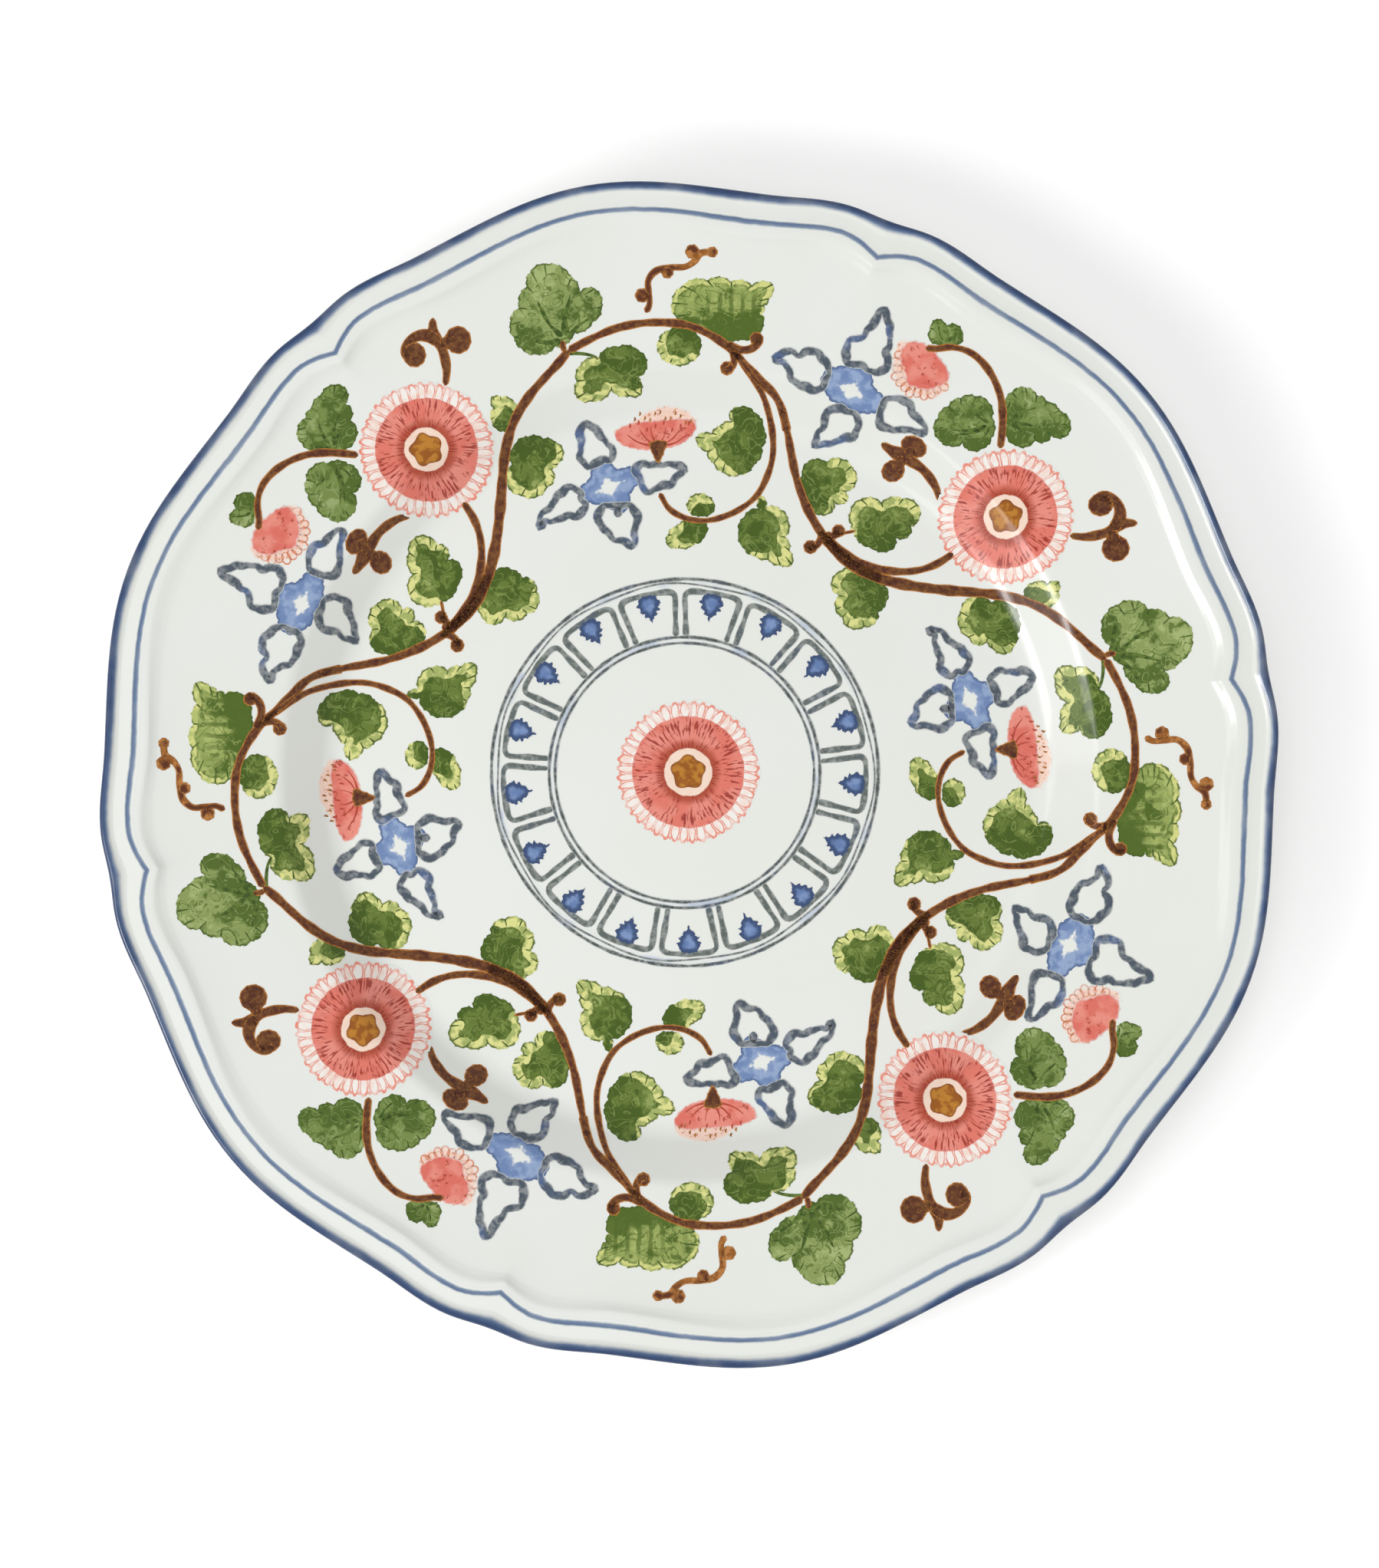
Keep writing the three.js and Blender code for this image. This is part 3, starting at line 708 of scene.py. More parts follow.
def sepia_paint():
    """Brown enamel: dark in the body of the stroke, thin and orange along its frayed edges."""
    n = Nodes("sepia_paint")
    edge = n.total(n.paint()[2], n.drift(0.8, 3, 0.55))
    core = n.mix(n.patches(1.1, 4, 0.36, 0.66, roughness=0.6), fired(92, 58, 36), fired(124, 84, 54))
    core = n.mix(n.patches(1.9, 3, 0.5, 0.62, 0.0, 0.55), core, fired(76, 44, 24))
    rim = n.mix(n.noise(1.4, 2), fired(194, 132, 68), fired(160, 100, 50))
    return n.finish(n.mix(n.step(edge, 0.06, 0.36), rim, core))


def amber_paint():
    """Thinner brown enamel, as on the tendrils: amber with dark spots where the brush rested."""
    n = Nodes("amber_paint")
    edge = n.paint()[2]
    base = n.mix(n.patches(1.3, 3, 0.4, 0.6), fired(180, 124, 72), fired(146, 94, 50))
    dark = n.product(n.patches(3.4, 2, 0.42, 0.56), n.step(edge, 0.1, 0.45))
    return n.finish(n.mix(dark, base, fired(98, 60, 34)))


def leaf_green(name, light, middle, dark, rim=None, rim_width=0.0, stripes=0.0):
    """Green enamel washes, light on one side and dark on the other.

    Paint holds shares of the leaf's reach, the first towards its light side. With rim, a pale
    border shows on that side. With stripes, dark bars cross the leaf's middle.
    """
    n = Nodes(name)
    bright, aside, edge = n.paint()
    grain = n.grain(0.75, 3, 0.6)

    # The wash, then light and dark brush marks in it.
    place = n.total(n.product(bright, 0.4), n.drift(3.8, 1, 1.7), n.product(grain, 0.45))
    colour = n.mix(n.step(place, -0.2, 0.02), dark, middle)
    colour = n.mix(n.step(place, 0.2, 0.46, 0.0, 0.85), colour, light)
    brushed = n.total(n.noise(3.4, 0.5, distortion=1.6), n.product(grain, 0.05))
    for low, high, strength, tone in ((0.53, 0.56, 0.4, light), (0.42, 0.46, 0.75, dark)):
        colour = n.mix(n.product(n.band(brushed, low, high, 0.015), strength), colour, tone)

    if stripes:
        bend = n.total(n.product(bright, bright, 0.07), n.drift(3.0, 2, 0.1))
        wave = n.math("SINE", n.product(n.total(aside, bend), stripes * math.pi))
        from_middle = n.math("ABSOLUTE", n.total(bright, 0.1))
        streak = n.product(
            n.step(wave, 0.0, 0.75),
            n.step(aside, -0.05, 0.5, 1.0, 0.35),
            n.step(from_middle, 0.35, 0.75, 1.0, 0.0),
        )
        colour = n.mix(n.product(streak, 0.75), colour, dark)
        shade = n.total(n.product(bright, -0.8), n.product(aside, -0.35), n.drift(3.2, 3, 0.9))
        colour = n.mix(n.step(shade, 0.22, 0.5, 0.0, 0.9), colour, dark)

    if rim:
        side = n.total(bright, n.drift(5.0, 1, 1.2))
        frayed = n.total(edge, n.product(grain, 0.6), n.drift(2.2, 1, 1.6))
        past = n.math("SUBTRACT", frayed, n.step(side, -0.6, 0.3, -0.6, rim_width))
        pale = n.mix(n.patches(1.6, 2, 0.42, 0.6, 0.0, 0.85), rim, light)
        colour = n.mix(n.step(past, -0.12, 0.14, 1.0, 0.0), colour, pale)
        fringe = n.product(n.band(past, 0.05, 0.3, 0.25), n.patches(1.9, 2, 0.42, 0.56))
        colour = n.mix(n.product(fringe, 0.6), colour, dark)

    # A thin broken outline.
    outline = n.step(n.total(edge, n.product(grain, 0.4)), 0.26, 0.48, 0.85, 0.0)
    line = n.product(outline, n.patches(2.2, 2, 0.4, 0.54))
    return n.finish(n.mix(line, colour, fired(76, 96, 42)))


def vein_green():
    """Thin dark strokes for leaf veins and the creases between lobes."""
    n = Nodes("vein_green")
    return n.finish(n.mix(n.patches(1.2, 3, 0.4, 0.6), fired(66, 86, 36), fired(98, 118, 60)))


def slate_paint(name, grey, blue, blue_share, thinnest):
    """Grey-blue line enamel that turns bluer in places and thins at its frayed edges."""
    n = Nodes(name)
    edge = n.total(n.paint()[2], n.drift(0.7, 3, 0.45))
    bluer_from = 0.65 - 0.3 * blue_share
    tone = n.patches(8, 2, bluer_from, bluer_from + 0.18)
    colour = n.mix(tone, grey, blue)
    depth = n.patches(1.7, 4, 0.34, 0.58, 0.74, 1.0, roughness=0.6)
    thin = n.step(edge, 0.02, 0.3, thinnest, 1.0)
    return n.over_white(n.product(depth, thin), colour)


def blue_wash(name, middle, light, rim, rim_width, star=None):
    """Blue watery wash, paler in pools and darker at its edge, with a white star if asked."""
    n = Nodes(name)
    x, y, edge = n.paint()
    grain = n.grain(1.0, 3)
    pool = n.mix(n.patches(2.4, 3, 0.42, 0.62), middle, light)
    edging = n.step(n.total(edge, grain), rim_width * 0.35, rim_width, 0.95, 0.0)
    colour = n.mix(edging, pool, rim)
    if star:
        rays = [
            n.math("POWER", n.math("ABSOLUTE", n.math("DIVIDE", across, reach)), 0.8)
            for across, reach in zip((x, y), star)
        ]
        inside = n.total(*rays, n.product(grain, 1.1))
        colour = n.mix(n.step(inside, 1.0, 1.8, 0.5, 0.0), colour, light)
        colour = n.mix(n.step(inside, 0.75, 1.1, 1.0, 0.0), colour, n.white())
    return n.finish(colour)


def haze_blue():
    """Faint patches of blue haze, where the border's colour ran in the kiln."""
    n = Nodes("haze_blue")
    fade = n.product(n.patches(10, 2, 0.5, 0.66, 0.08, 0.6), n.step(n.paint()[2], 0.05, 0.9))
    return n.over_white(fade, fired(150, 172, 208))


def rosette_paint(name, loops, disc_radius, loop_radius, ring_radius, heart_radius):
    """A many-petalled coral flower, painted in rings round its middle."""
    n = Nodes(name)
    x, y, _ = n.paint()
    flat_radius = n.math("SQRT", n.total(n.product(x, x), n.product(y, y)))
    radius = n.total(flat_radius, n.drift(2.0, 2, 0.7))
    angle = n.math("ARCTAN2", y, x)

    def looped(shift, reach, wide):
        """One ring of long petals: where their line is, and where they are."""
        turns = n.total(n.product(angle, loops / (2 * math.pi)), n.drift(4.5, 1, 1.0), loops + shift)
        sideways = n.math("DIVIDE", n.math("SUBTRACT", n.math("FRACT", turns), 0.5), wide)
        half = (reach - disc_radius + 1.6) / 2
        outward = n.math("DIVIDE", n.math("SUBTRACT", flat_radius, reach - half), half)
        petal = n.math("SQRT", n.total(n.product(outward, outward), n.product(sideways, sideways)))
        petal = n.total(petal, n.drift(1.3, 2, 0.16))
        return n.band(petal, 0.8, 0.93, 0.14), n.step(petal, 0.86, 1.0, 1.0, 0.0)

    pink = fired(226, 140, 122)
    blush = n.mix(n.patches(2.4, 2, 0.4, 0.7), fired(236, 232, 226), fired(236, 212, 201))
    faint = n.patches(2.0, 2, 0.34, 0.58, 0.4, 1.0)
    back_line, back_inside = looped(0.5, loop_radius - 0.5, 0.36)
    front_line, front_inside = looped(0.0, loop_radius, 0.47)
    fringe = n.mix(n.product(back_inside, 0.35), n.white(), blush)
    fringe = n.mix(n.product(back_line, faint, 0.8), fringe, pink)
    fringe = n.mix(front_inside, fringe, blush)
    fringe = n.mix(n.product(front_line, faint), fringe, pink)

    coral = n.mix(n.patches(6, 2, 0.4, 0.62), fired(219, 122, 108), fired(226, 142, 128))
    grid = n.put("CombineXYZ", {0: n.product(angle, 9.0), 1: n.product(radius, 0.15)}).outputs[0]
    strokes = n.put("TexNoise", {"Vector": grid, "Scale": 2.2, "Detail": 2.0}).outputs["Fac"]
    outer = n.band(radius, disc_radius * 0.7, disc_radius * 0.92, 1.7)
    inner = n.band(radius, ring_radius, ring_radius + 1.3, 1.6)
    mark = n.product(n.step(strokes, 0.51, 0.58), n.patches(3.0, 2, 0.36, 0.48))
    mark = n.product(mark, n.math("MAXIMUM", outer, inner), 0.85)
    glow = n.step(radius, ring_radius + 0.5, ring_radius + 2.8, 0.85, 0.0)
    coral = n.mix(glow, coral, fired(166, 76, 56))
    coral = n.mix(mark, coral, fired(146, 52, 46))

    ring = n.mix(n.noise(2.0, 2), fired(242, 222, 206), fired(232, 200, 180))
    lobes = n.product(n.math("COSINE", n.product(n.total(angle, 0.3), 5.0)), 0.36)
    lobed = n.total(flat_radius, lobes, n.drift(1.2, 2, 0.4))
    heart = n.mix(n.patches(1.9, 2, 0.42, 0.6), fired(184, 126, 56), fired(150, 92, 40))
    heart = n.mix(n.step(lobed, heart_radius - 0.5, heart_radius, 0.0, 0.65), heart, fired(128, 70, 36))

    colour = n.mix(n.step(lobed, heart_radius, heart_radius + 0.2), heart, ring)
    colour = n.mix(n.step(radius, ring_radius - 0.1, ring_radius + 0.2), colour, coral)
    colour = n.mix(n.step(radius, disc_radius - 0.1, disc_radius + 0.2), colour, fringe)
    return n.finish(colour)


def red_line():
    """Fine dark-red strokes on coral petals."""
    n = Nodes("red_line")
    return n.finish(n.mix(n.noise(1.3, 3), fired(150, 56, 44), fired(196, 96, 82)))


def coral_wash():
    """Coral enamel for the bud and the half flower, with darker flecks."""
    n = Nodes("coral_wash")
    edge = n.total(n.paint()[2], n.drift(0.9, 2, 0.6))
    base = n.mix(n.patches(4.5, 2, 0.4, 0.62), fired(215, 114, 102), fired(226, 142, 128))
    fleck = n.product(n.patches(1.1, 3, 0.56, 0.64, roughness=0.6), n.patches(4.0, 1, 0.42, 0.56), 0.75)
    colour = n.mix(fleck, base, fired(158, 62, 50))
    return n.over_white(n.step(edge, 0.0, 0.4, 0.5, 1.0), colour)


def blush_wash():
    """The pale dappled fringe of a bud: blush pink with amber dabs."""
    n = Nodes("blush_wash")
    base = n.mix(n.noise(1.6, 3), fired(240, 218, 204), fired(232, 190, 172))
    dab = n.product(n.patches(1.0, 3, 0.57, 0.63, roughness=0.6), 0.65)
    colour = n.mix(dab, base, fired(186, 108, 66))
    fade = n.step(n.total(n.paint()[2], n.drift(1.2, 2, 1.4)), 0.0, 0.8)
    return n.over_white(fade, colour)


def petal_line_paint():
    """Fine orange-pink line of the fringe petals."""
    n = Nodes("petal_line_paint")
    colour = n.mix(n.noise(1.5, 2), fired(226, 150, 124), fired(204, 122, 78))
    return n.over_white(n.patches(2.0, 2, 0.3, 0.6, 0.45, 0.95), colour)


# ---- Motifs of one quadrant, in millimetres from the middle of the decoration ----------------

# Each leaf: its kind, the direction of its light side in degrees, where its stalk joins it, and the
# notches between its lobes.
LEAVES = {
    "round_leaf": ("rimmed", 235, (-0.4, 99.8), [
        (-2.8, 92.6), (1.8, 92.8), (4, 95.6), (3.4, 98.9), (0.4, 100.4), (-3, 100), (-5.5, 97.5),
        (-5.2, 94.6)]),
    "kidney_leaf": ("rimmed", 250, (-18.6, 93.2), [
        (-23.8, 84.9), (-20.5, 84.2), (-16, 86.6), (-12, 85.4), (-9.4, 85.7), (-9.9, 89.5),
        (-7.9, 92.3), (-10, 95.5), (-14.5, 96.3), (-19, 93.9), (-23, 92.2), (-23.9, 88.5)]),
    "hooded_leaf": ("rimmed", 190, (17.8, 78.6), [
        (9, 68.4), (13, 67.8), (16.2, 70.2), (18, 74), (18.3, 78.7), (16.5, 81.8), (12.5, 83.2),
        (10.6, 81.9), (11.2, 80.1), (8.4, 79), (6.6, 77.4), (2.9, 76.4), (5.5, 73), (7, 70.5)]),
    "upper_bead_leaf": ("rimmed", 120, (4, 59), [
        (1.2, 59.6), (4, 58.3), (7, 59.4), (7.1, 61.2), (5.6, 63), (3.4, 63.5), (1.3, 62)]),
    "lower_bead_leaf": ("rimmed", 215, (3.2, 56.6), [
        (-3.6, 51.8), (-1, 51), (2.5, 51.8), (5, 53.8), (5.5, 56.5), (2.5, 57.3), (-1.5, 56),
        (-3.4, 54)]),
    "hanging_leaf": ("rimmed", -20, (17.7, 62.6), [
        (24.6, 47.2), (24.1, 50.5), (23.2, 53.5), (23.8, 57.5), (22, 60), (19, 60.5), (17.7, 63.2),
        (16.9, 60.2), (13.8, 58.2), (12.6, 54.5), (13.6, 51.2), (16.2, 49.2), (19.2, 48.4),
        (22, 47)]),
    "clover_leaf": ("rimmed", 10, (27.4, 66), [
        (29.8, 59), (33.8, 59.3), (34.3, 61.3), (37.2, 61.7), (37, 64), (39.3, 66), (38.2, 69.8),
        (36, 71.5), (32.5, 70.8), (28.5, 71), (27, 68), (27.1, 63), (28.2, 60.6)]),
    "broad_leaf": ("rimmed", 95, (38.6, 55.2), [
        (42.5, 51.1), (47.5, 50.7), (48.3, 53.3), (51.3, 53.8), (51.8, 56), (53.5, 57.5),
        (53.3, 61), (50, 62.4), (45, 61.6), (40.3, 62.3), (37.9, 59.5), (38, 56.5), (38.6, 54.8)]),
    "cushion_leaf": ("rimmed", 205, (39, 46), [
        (37, 33.1), (41, 32.9), (44, 34.6), (44.2, 36.4), (46, 38.5), (46, 42.3), (43, 44.8),
        (39, 46.4), (35.5, 45.8), (33.4, 42.8), (35.2, 40.2), (34.4, 37), (36, 35.2)]),
    "low_leaf": ("rimmed", 215, (70, 38.4), [
        (70.2, 28.2), (73.5, 27), (75.2, 28.8), (76, 31.6), (76.3, 35), (74.5, 38), (70, 38.8),
        (65.3, 39.8), (63, 36.5), (62.7, 33), (64.8, 30.8), (67, 28.9), (69, 29.7)]),
    "small_leaf": ("rimmed", 30, (81.8, 37.6), [
        (78.5, 38.1), (81.5, 37.2), (84, 38.1), (84.9, 41), (84.9, 43), (82.3, 42.7), (79.8, 43.2),
        (77.2, 41)]),
    "bud_leaf": ("plain", 185, (58.6, 97), [
        (55.5, 97.4), (58, 96.6), (62.6, 96.8), (62.9, 98.8), (61.4, 101), (59.3, 100.7),
        (57, 102.3), (55.6, 100.2)]),
    "long_leaf": ("striped", 90, (12.8, 98.4), [
        (-1.6, 103), (3, 101.4), (8, 98.8), (13, 97.8), (17, 99.2), (18.2, 101.4), (17.8, 103.6),
        (18.4, 105.4), (19.5, 107), (20.3, 110.2), (15.5, 110), (11, 110.8), (5.5, 111.1),
        (0, 109.8), (-2.4, 106)]),
    "maple_leaf": ("maple", 120, (-26.3, 97.4), [
        (-26, 96.9), (-24.6, 99.2), (-20, 101.8), (-18.1, 105), (-19.6, 109.2), (-23.2, 108.4),
        (-24.8, 111.6), (-31, 114.6), (-34, 113), (-35, 109.6), (-36.8, 104.8), (-38.8, 101),
        (-37.8, 98), (-36, 95.5), (-33, 94.4), (-28.6, 96.2)]),
    "left_side_leaf": ("plain", 110, (69.4, 78.4), [
        (57.6, 75.4), (60.5, 73.7), (63, 74.4), (64.8, 72.7), (67.5, 73.1), (69.6, 75.5),
        (69.7, 80), (68.6, 83.8), (66, 84.9), (62.5, 84.6), (59.8, 82.8), (57.3, 80), (56.6, 77)]),
    "right_side_leaf": ("plain", 80, (73, 79), [
        (72.8, 76), (75, 73.8), (78, 73.6), (79.2, 74.9), (81.8, 74.5), (83, 75.9), (86, 75.5),
        (87.3, 78.2), (84.8, 81.5), (82, 83.5), (79.6, 85), (77, 86.8), (74, 85.8), (72.5, 83.6),
        (72.6, 80)]),
}


VEIN_WIDTHS = {"plain": 0.68, "maple": 1.0}
CREASE_WIDTH = 0.42


def leaf_veins():
    """Veins that fan out from each leaf's stalk, and creases that run in from its far notches."""
    crease_share, vein_share, vein_bend = 0.28, 0.72, 0.07
    strokes = []
    for index, (kind, _, root, notches) in enumerate(LEAVES.values()):
        root, notches = np.array(root), np.array(notches, float)
        middle = notches.mean(0)
        reach = np.hypot(*(notches - root).T)
        for number, (notch, length) in enumerate(zip(notches, reach)):
            if length < 0.45 * reach.max():
                continue
            inward = notch + (middle - notch) * crease_share
            crease = [notch, (notch + inward) / 2, inward]
            strokes.append(ribbon(crease, CREASE_WIDTH, step=0.4, ends=(1, 0.4)))
            if kind in VEIN_WIDTHS and number % 3 == 0:
                way = (notch - root) * vein_share
                bend = np.array((-way[1], way[0])) * vein_bend
                vein = [root + way * 0.12, root + way * 0.5 + bend, root + way]
                seed = index + number
                strokes.append(ribbon(vein, VEIN_WIDTHS[kind], step=0.7, wobble=0.25, seed=seed,
                                      ends=(1.4, 0.4)))
    return strokes


# The vine's long strokes, along their middles.
MAIN_STEM = [
    (-25.6, 95.3), (-20.5, 98), (-15, 100.3), (-9, 101.5), (-3, 101.6), (2, 100.8), (7, 98.5),
    (11, 95.6), (14, 92.4), (17.4, 88.9), (20.6, 85.8), (22.4, 82.5), (23.7, 77.5), (24.6, 72.5),
    (25.6, 67.5), (27.4, 62), (29.6, 57.3), (32, 53.6), (35.5, 49.6), (39.5, 46.5), (45, 44),
    (52, 42.4), (60, 41.4), (68, 40.8), (74, 39.9), (80, 37.8), (85, 34.6), (89.2, 31),
    (92.4, 28), (95.3, 25.6),
]
INNER_SCROLL = [
    (11.6, 95.2), (14.6, 91), (17.4, 87), (19.2, 82.6), (20.3, 77.5), (20.4, 72.5), (19.2, 67.8),
    (16.8, 63.2), (13, 60), (8.6, 58), (4.6, 57.3), (0.6, 57.9), (-3, 60), (-5.2, 63.6),
]
BRANCH = [
    (31.6, 54.2), (34.6, 51.4), (38.4, 48.7), (43, 46.7), (48, 45.7), (53, 45.9), (57.4, 47.3),
    (61.4, 49.8),
]
GREEN_TENDRIL = [(-26, 94.6), (-23.4, 94.7), (-20.6, 94.3), (-18.8, 93.4)]


def stems():
    """The vine's brown strokes, with its curled stubs and the round beads that end them."""
    # Each stub: its line, its width, and its end's width as a share of that.
    curls = [
        ([(9.8, 97), (13, 95.6), (15.6, 95.9), (17.4, 97.7), (16.6, 99)], 1.6, 1.25),
        ([(11.2, 95.6), (11.6, 93), (10.6, 91.3), (9.2, 90.9)], 1.5, 1.2),
        ([(31.4, 55.2), (31, 52.8), (29.4, 51.1), (28, 51.3)], 1.5, 1.25),
        ([(32, 54.2), (34, 53.8), (35.4, 55.2)], 1.7, 1.3),
        ([(34.6, 54.2), (37, 54.6), (39, 55)], 1.0, 0.7),
        ([(-26.4, 95), (-26.9, 96.2), (-27, 97.6)], 1.5, 0.8),
    ]
    strokes = [
        ribbon(MAIN_STEM[:13], 1.9, seed=1, ends=(0.95, 1.0)),
        ribbon(MAIN_STEM[11:21], 1.8, seed=2, ends=(0.9, 1.35)),
        ribbon(MAIN_STEM[17:], 2.2, seed=3, ends=(1.25, 0.85)),
        ribbon(INNER_SCROLL, 1.55, seed=4, ends=(1.0, 0.85)),
        ribbon(BRANCH, 1.75, seed=5, ends=(1.1, 0.95)),
    ]
    for index, (points, width, end) in enumerate(curls):
        strokes.append(ribbon(points, width, seed=index, ends=(1.0, end)))
    balls = (((16.6, 98.1), 1.5), ((10, 91.5), 1.55), ((28.8, 51.3), 1.6), ((35.2, 55), 1.5))
    return strokes + [bead(centre, radius, 26, 0.06, 0.6) for centre, radius in balls]


def fleur(stem, curls, balls, tip):
    """A three-part brown bud: a stem, two round lobes and a pointed one."""
    patches = [ribbon(stem, 1.9, seed=6, ends=(0.7, 1.5))]
    patches += [ribbon(curl, 2.5, seed=7 + index, ends=(1.1, 1.0)) for index, curl in enumerate(curls)]
    for index, (centre, long, short, turn) in enumerate(balls):
        patches.append(blob(ragged(ellipse(centre, long, short, turn, 36), 0.07, index), grid=0.8))
    patches.append(ribbon(tip, 2.8, seed=8, ends=(1.2, 0.6)))
    return patches


def outer_fleur():
    return fleur(
        [(87.3, 53.4), (91, 53.1), (95, 53.9), (97.6, 55.2)],
        [[(96.8, 54.6), (98.4, 57.4), (97.9, 60.4), (95.2, 62.2), (93, 61.6)],
         [(96, 54.2), (97, 52.8), (97.6, 51)]],
        [((94.1, 60.3), 2.8, 2.6, 0), ((97.5, 50.5), 3.1, 3.0, 0)],
        [(96.6, 55.4), (99.4, 56.1), (102.3, 56.1)],
    )


def inner_fleur():
    return fleur(
        [(58.3, 61.8), (57, 65.2), (54.4, 68.6), (51, 71), (49, 71.9)],
        [[(50.2, 71.4), (49, 70.4), (48, 69)], [(50.6, 71.6), (51.4, 72.6), (52, 73.6)]],
        [((47.6, 68.6), 2.65, 2.45, 20), ((52.1, 73.8), 3.1, 2.25, -30)],
        [(50, 71.7), (47.4, 73), (44.9, 74.7)],
    )


def tendril():
    """The vine's loose tendril, with a bead at each joint."""
    line = [
        (-8.3, 103.9), (-7.4, 105.8), (-7.6, 108.4), (-7.7, 111), (-6, 113.1), (-3, 113.9),
        (0.4, 114), (2.6, 115.2), (4, 117), (6.8, 117.4),
    ]
    balls = (((-9.1, 107.7), 1.6), ((-3.4, 112.8), 1.35), ((2.2, 117.4), 1.6), ((6.7, 117.3), 1.2))
    beads = [bead(centre, radius, 24, 0.08, 0.7) for centre, radius in balls]
    return [ribbon(line, 1.5, seed=9)] + beads


# Petal outlines of the two blue flowers, each along the middle of its painted line, and the heart
# between the petals, with the place and turn of its white star.
OUTER_BLUE_PETALS = [
    [(45.4, 104.3), (46.3, 101), (46.7, 97.5), (45.7, 95.1), (46.3, 93), (44.9, 90.8), (42.9, 90.4),
     (40.4, 92), (38, 92.2), (36.7, 94), (36.8, 96.1), (38.1, 97.8), (40.2, 98.3), (41.6, 99.7),
     (42.9, 101.5), (43.9, 103.1)],
    [(20.8, 93.9), (22.5, 94.9), (24.3, 95.2), (25.8, 94.3), (27.7, 95.2), (29.9, 94.9), (31.6, 93.6),
     (32.7, 91.7), (32.5, 89.5), (31.6, 87.4), (30.3, 86.7), (28.6, 86.9), (26.6, 87.6),
     (24.7, 89.1), (23.8, 90.8), (22.9, 92.6)],
    [(30, 74.6), (30.4, 77.1), (32.1, 78.8), (32, 81.2), (34.2, 82.4), (37, 82.1), (39, 80.9),
     (39.6, 78.5), (38.7, 76.4), (36.3, 76.2), (34.2, 74.9), (32.1, 75)],
    [(54.6, 76.8), (53.6, 79.5), (51.9, 81.2), (50.5, 83.6), (48.1, 84.7), (46, 84.2), (44.6, 82.3),
     (44.3, 79.8), (45.8, 78.1), (48.1, 77.4), (50.5, 77.8), (52.6, 76.9)],
]
OUTER_BLUE_HEART = [
    (31.9, 88.3), (32.6, 90), (34.4, 91), (37.7, 91.4), (40.4, 90.9), (42, 89.5), (42.5, 87.1),
    (44.3, 85.3), (44.6, 83.2), (42.9, 82), (40.4, 81.9), (38, 82.4), (36.6, 83.8), (34.2, 84.3),
    (32.8, 86.2),
]
OUTER_STAR = {"centre": (38, 86.2), "turn": -25}
INNER_BLUE_PETALS = [
    [(79.2, 21.7), (78.8, 20.2), (77.6, 19.3), (76.2, 18.4), (75.3, 17.1), (73.8, 16), (72.2, 15.9),
     (71.1, 16.8), (71, 18.4), (70.5, 19.8), (69.7, 21.4), (70.7, 22.8), (72.1, 23.3),
     (73.5, 22.9), (75.2, 23.1), (76.9, 23.3), (78.4, 22.8)],
    [(68.8, -0.4), (69.8, 1.1), (70.4, 2.9), (70.1, 4.9), (70, 7), (70.5, 9.1), (69.6, 10.3),
     (68.1, 10.2), (66.5, 9.5), (65, 9.2), (64, 7.7), (64.5, 6), (65.3, 4.5), (65.7, 2.9),
     (67.3, 1.4)],
    [(55.9, 32.3), (57.8, 32.5), (59.2, 31.4), (60.1, 29.9), (61.6, 29.3), (62.9, 28.6), (63.5, 27.3),
     (64.7, 26.2), (64.8, 24.4), (63.7, 23), (62.2, 23.1), (61, 22.1), (59.2, 22.5), (58.3, 24.1),
     (58.6, 26.1), (57.4, 27.8), (57.1, 29.7), (57.2, 31.2)],
    [(51.1, 11.5), (53, 10.8), (54.9, 10.8), (57, 10.2), (59.1, 10.7), (60.8, 11.7), (61, 13.1),
     (60.5, 14.6), (60.8, 16.4), (60.7, 17.8), (59.4, 18.8), (57.5, 18.9), (55.7, 18.2),
     (54.2, 16.6), (52.9, 15), (52.4, 12.9)],
]
INNER_BLUE_HEART = [
    (70, 20), (70.5, 18.1), (70.3, 16.3), (68.9, 15.5), (68.8, 14), (69.2, 12.5), (67.9, 10.9),
    (66.3, 10.4), (65.1, 11.3), (63.4, 12.4), (61.2, 12.4), (59.9, 13.8), (59.9, 15.5),
    (61.2, 17.1), (61.3, 18.6), (61.7, 20.2), (62, 21.7), (62.9, 22.9), (65.1, 22.3),
    (66.5, 20.7), (68.2, 20.2),
]
INNER_STAR = {"centre": (65, 16.6), "turn": -68}
INNER_STUB = [(60.6, 14.6), (59.4, 14.6), (58, 14.6)]


def flower_lines(petals, seed):
    """A blue flower's petals, each a closed wavering line."""
    lines = []
    for index, petal in enumerate(petals):
        outline = ruffled(petal, 0.17, 5.2 + 0.4 * index)
        lines.append(ribbon(outline, 1.85, closed=True, step=0.5, wobble=0.16, seed=seed + index))
    return lines


def flower_heart(outline, star):
    """The blue wash between the petals, spread a little way under their painted lines."""
    centre = np.mean(outline, axis=0)
    spread_out = centre + (np.array(outline) - centre) * 1.14
    edge = ragged(even(spline(spread_out, closed=True), 0.5, closed=True), 0.14, seed=3)
    return [blob(edge, grid=0.8, **star)]


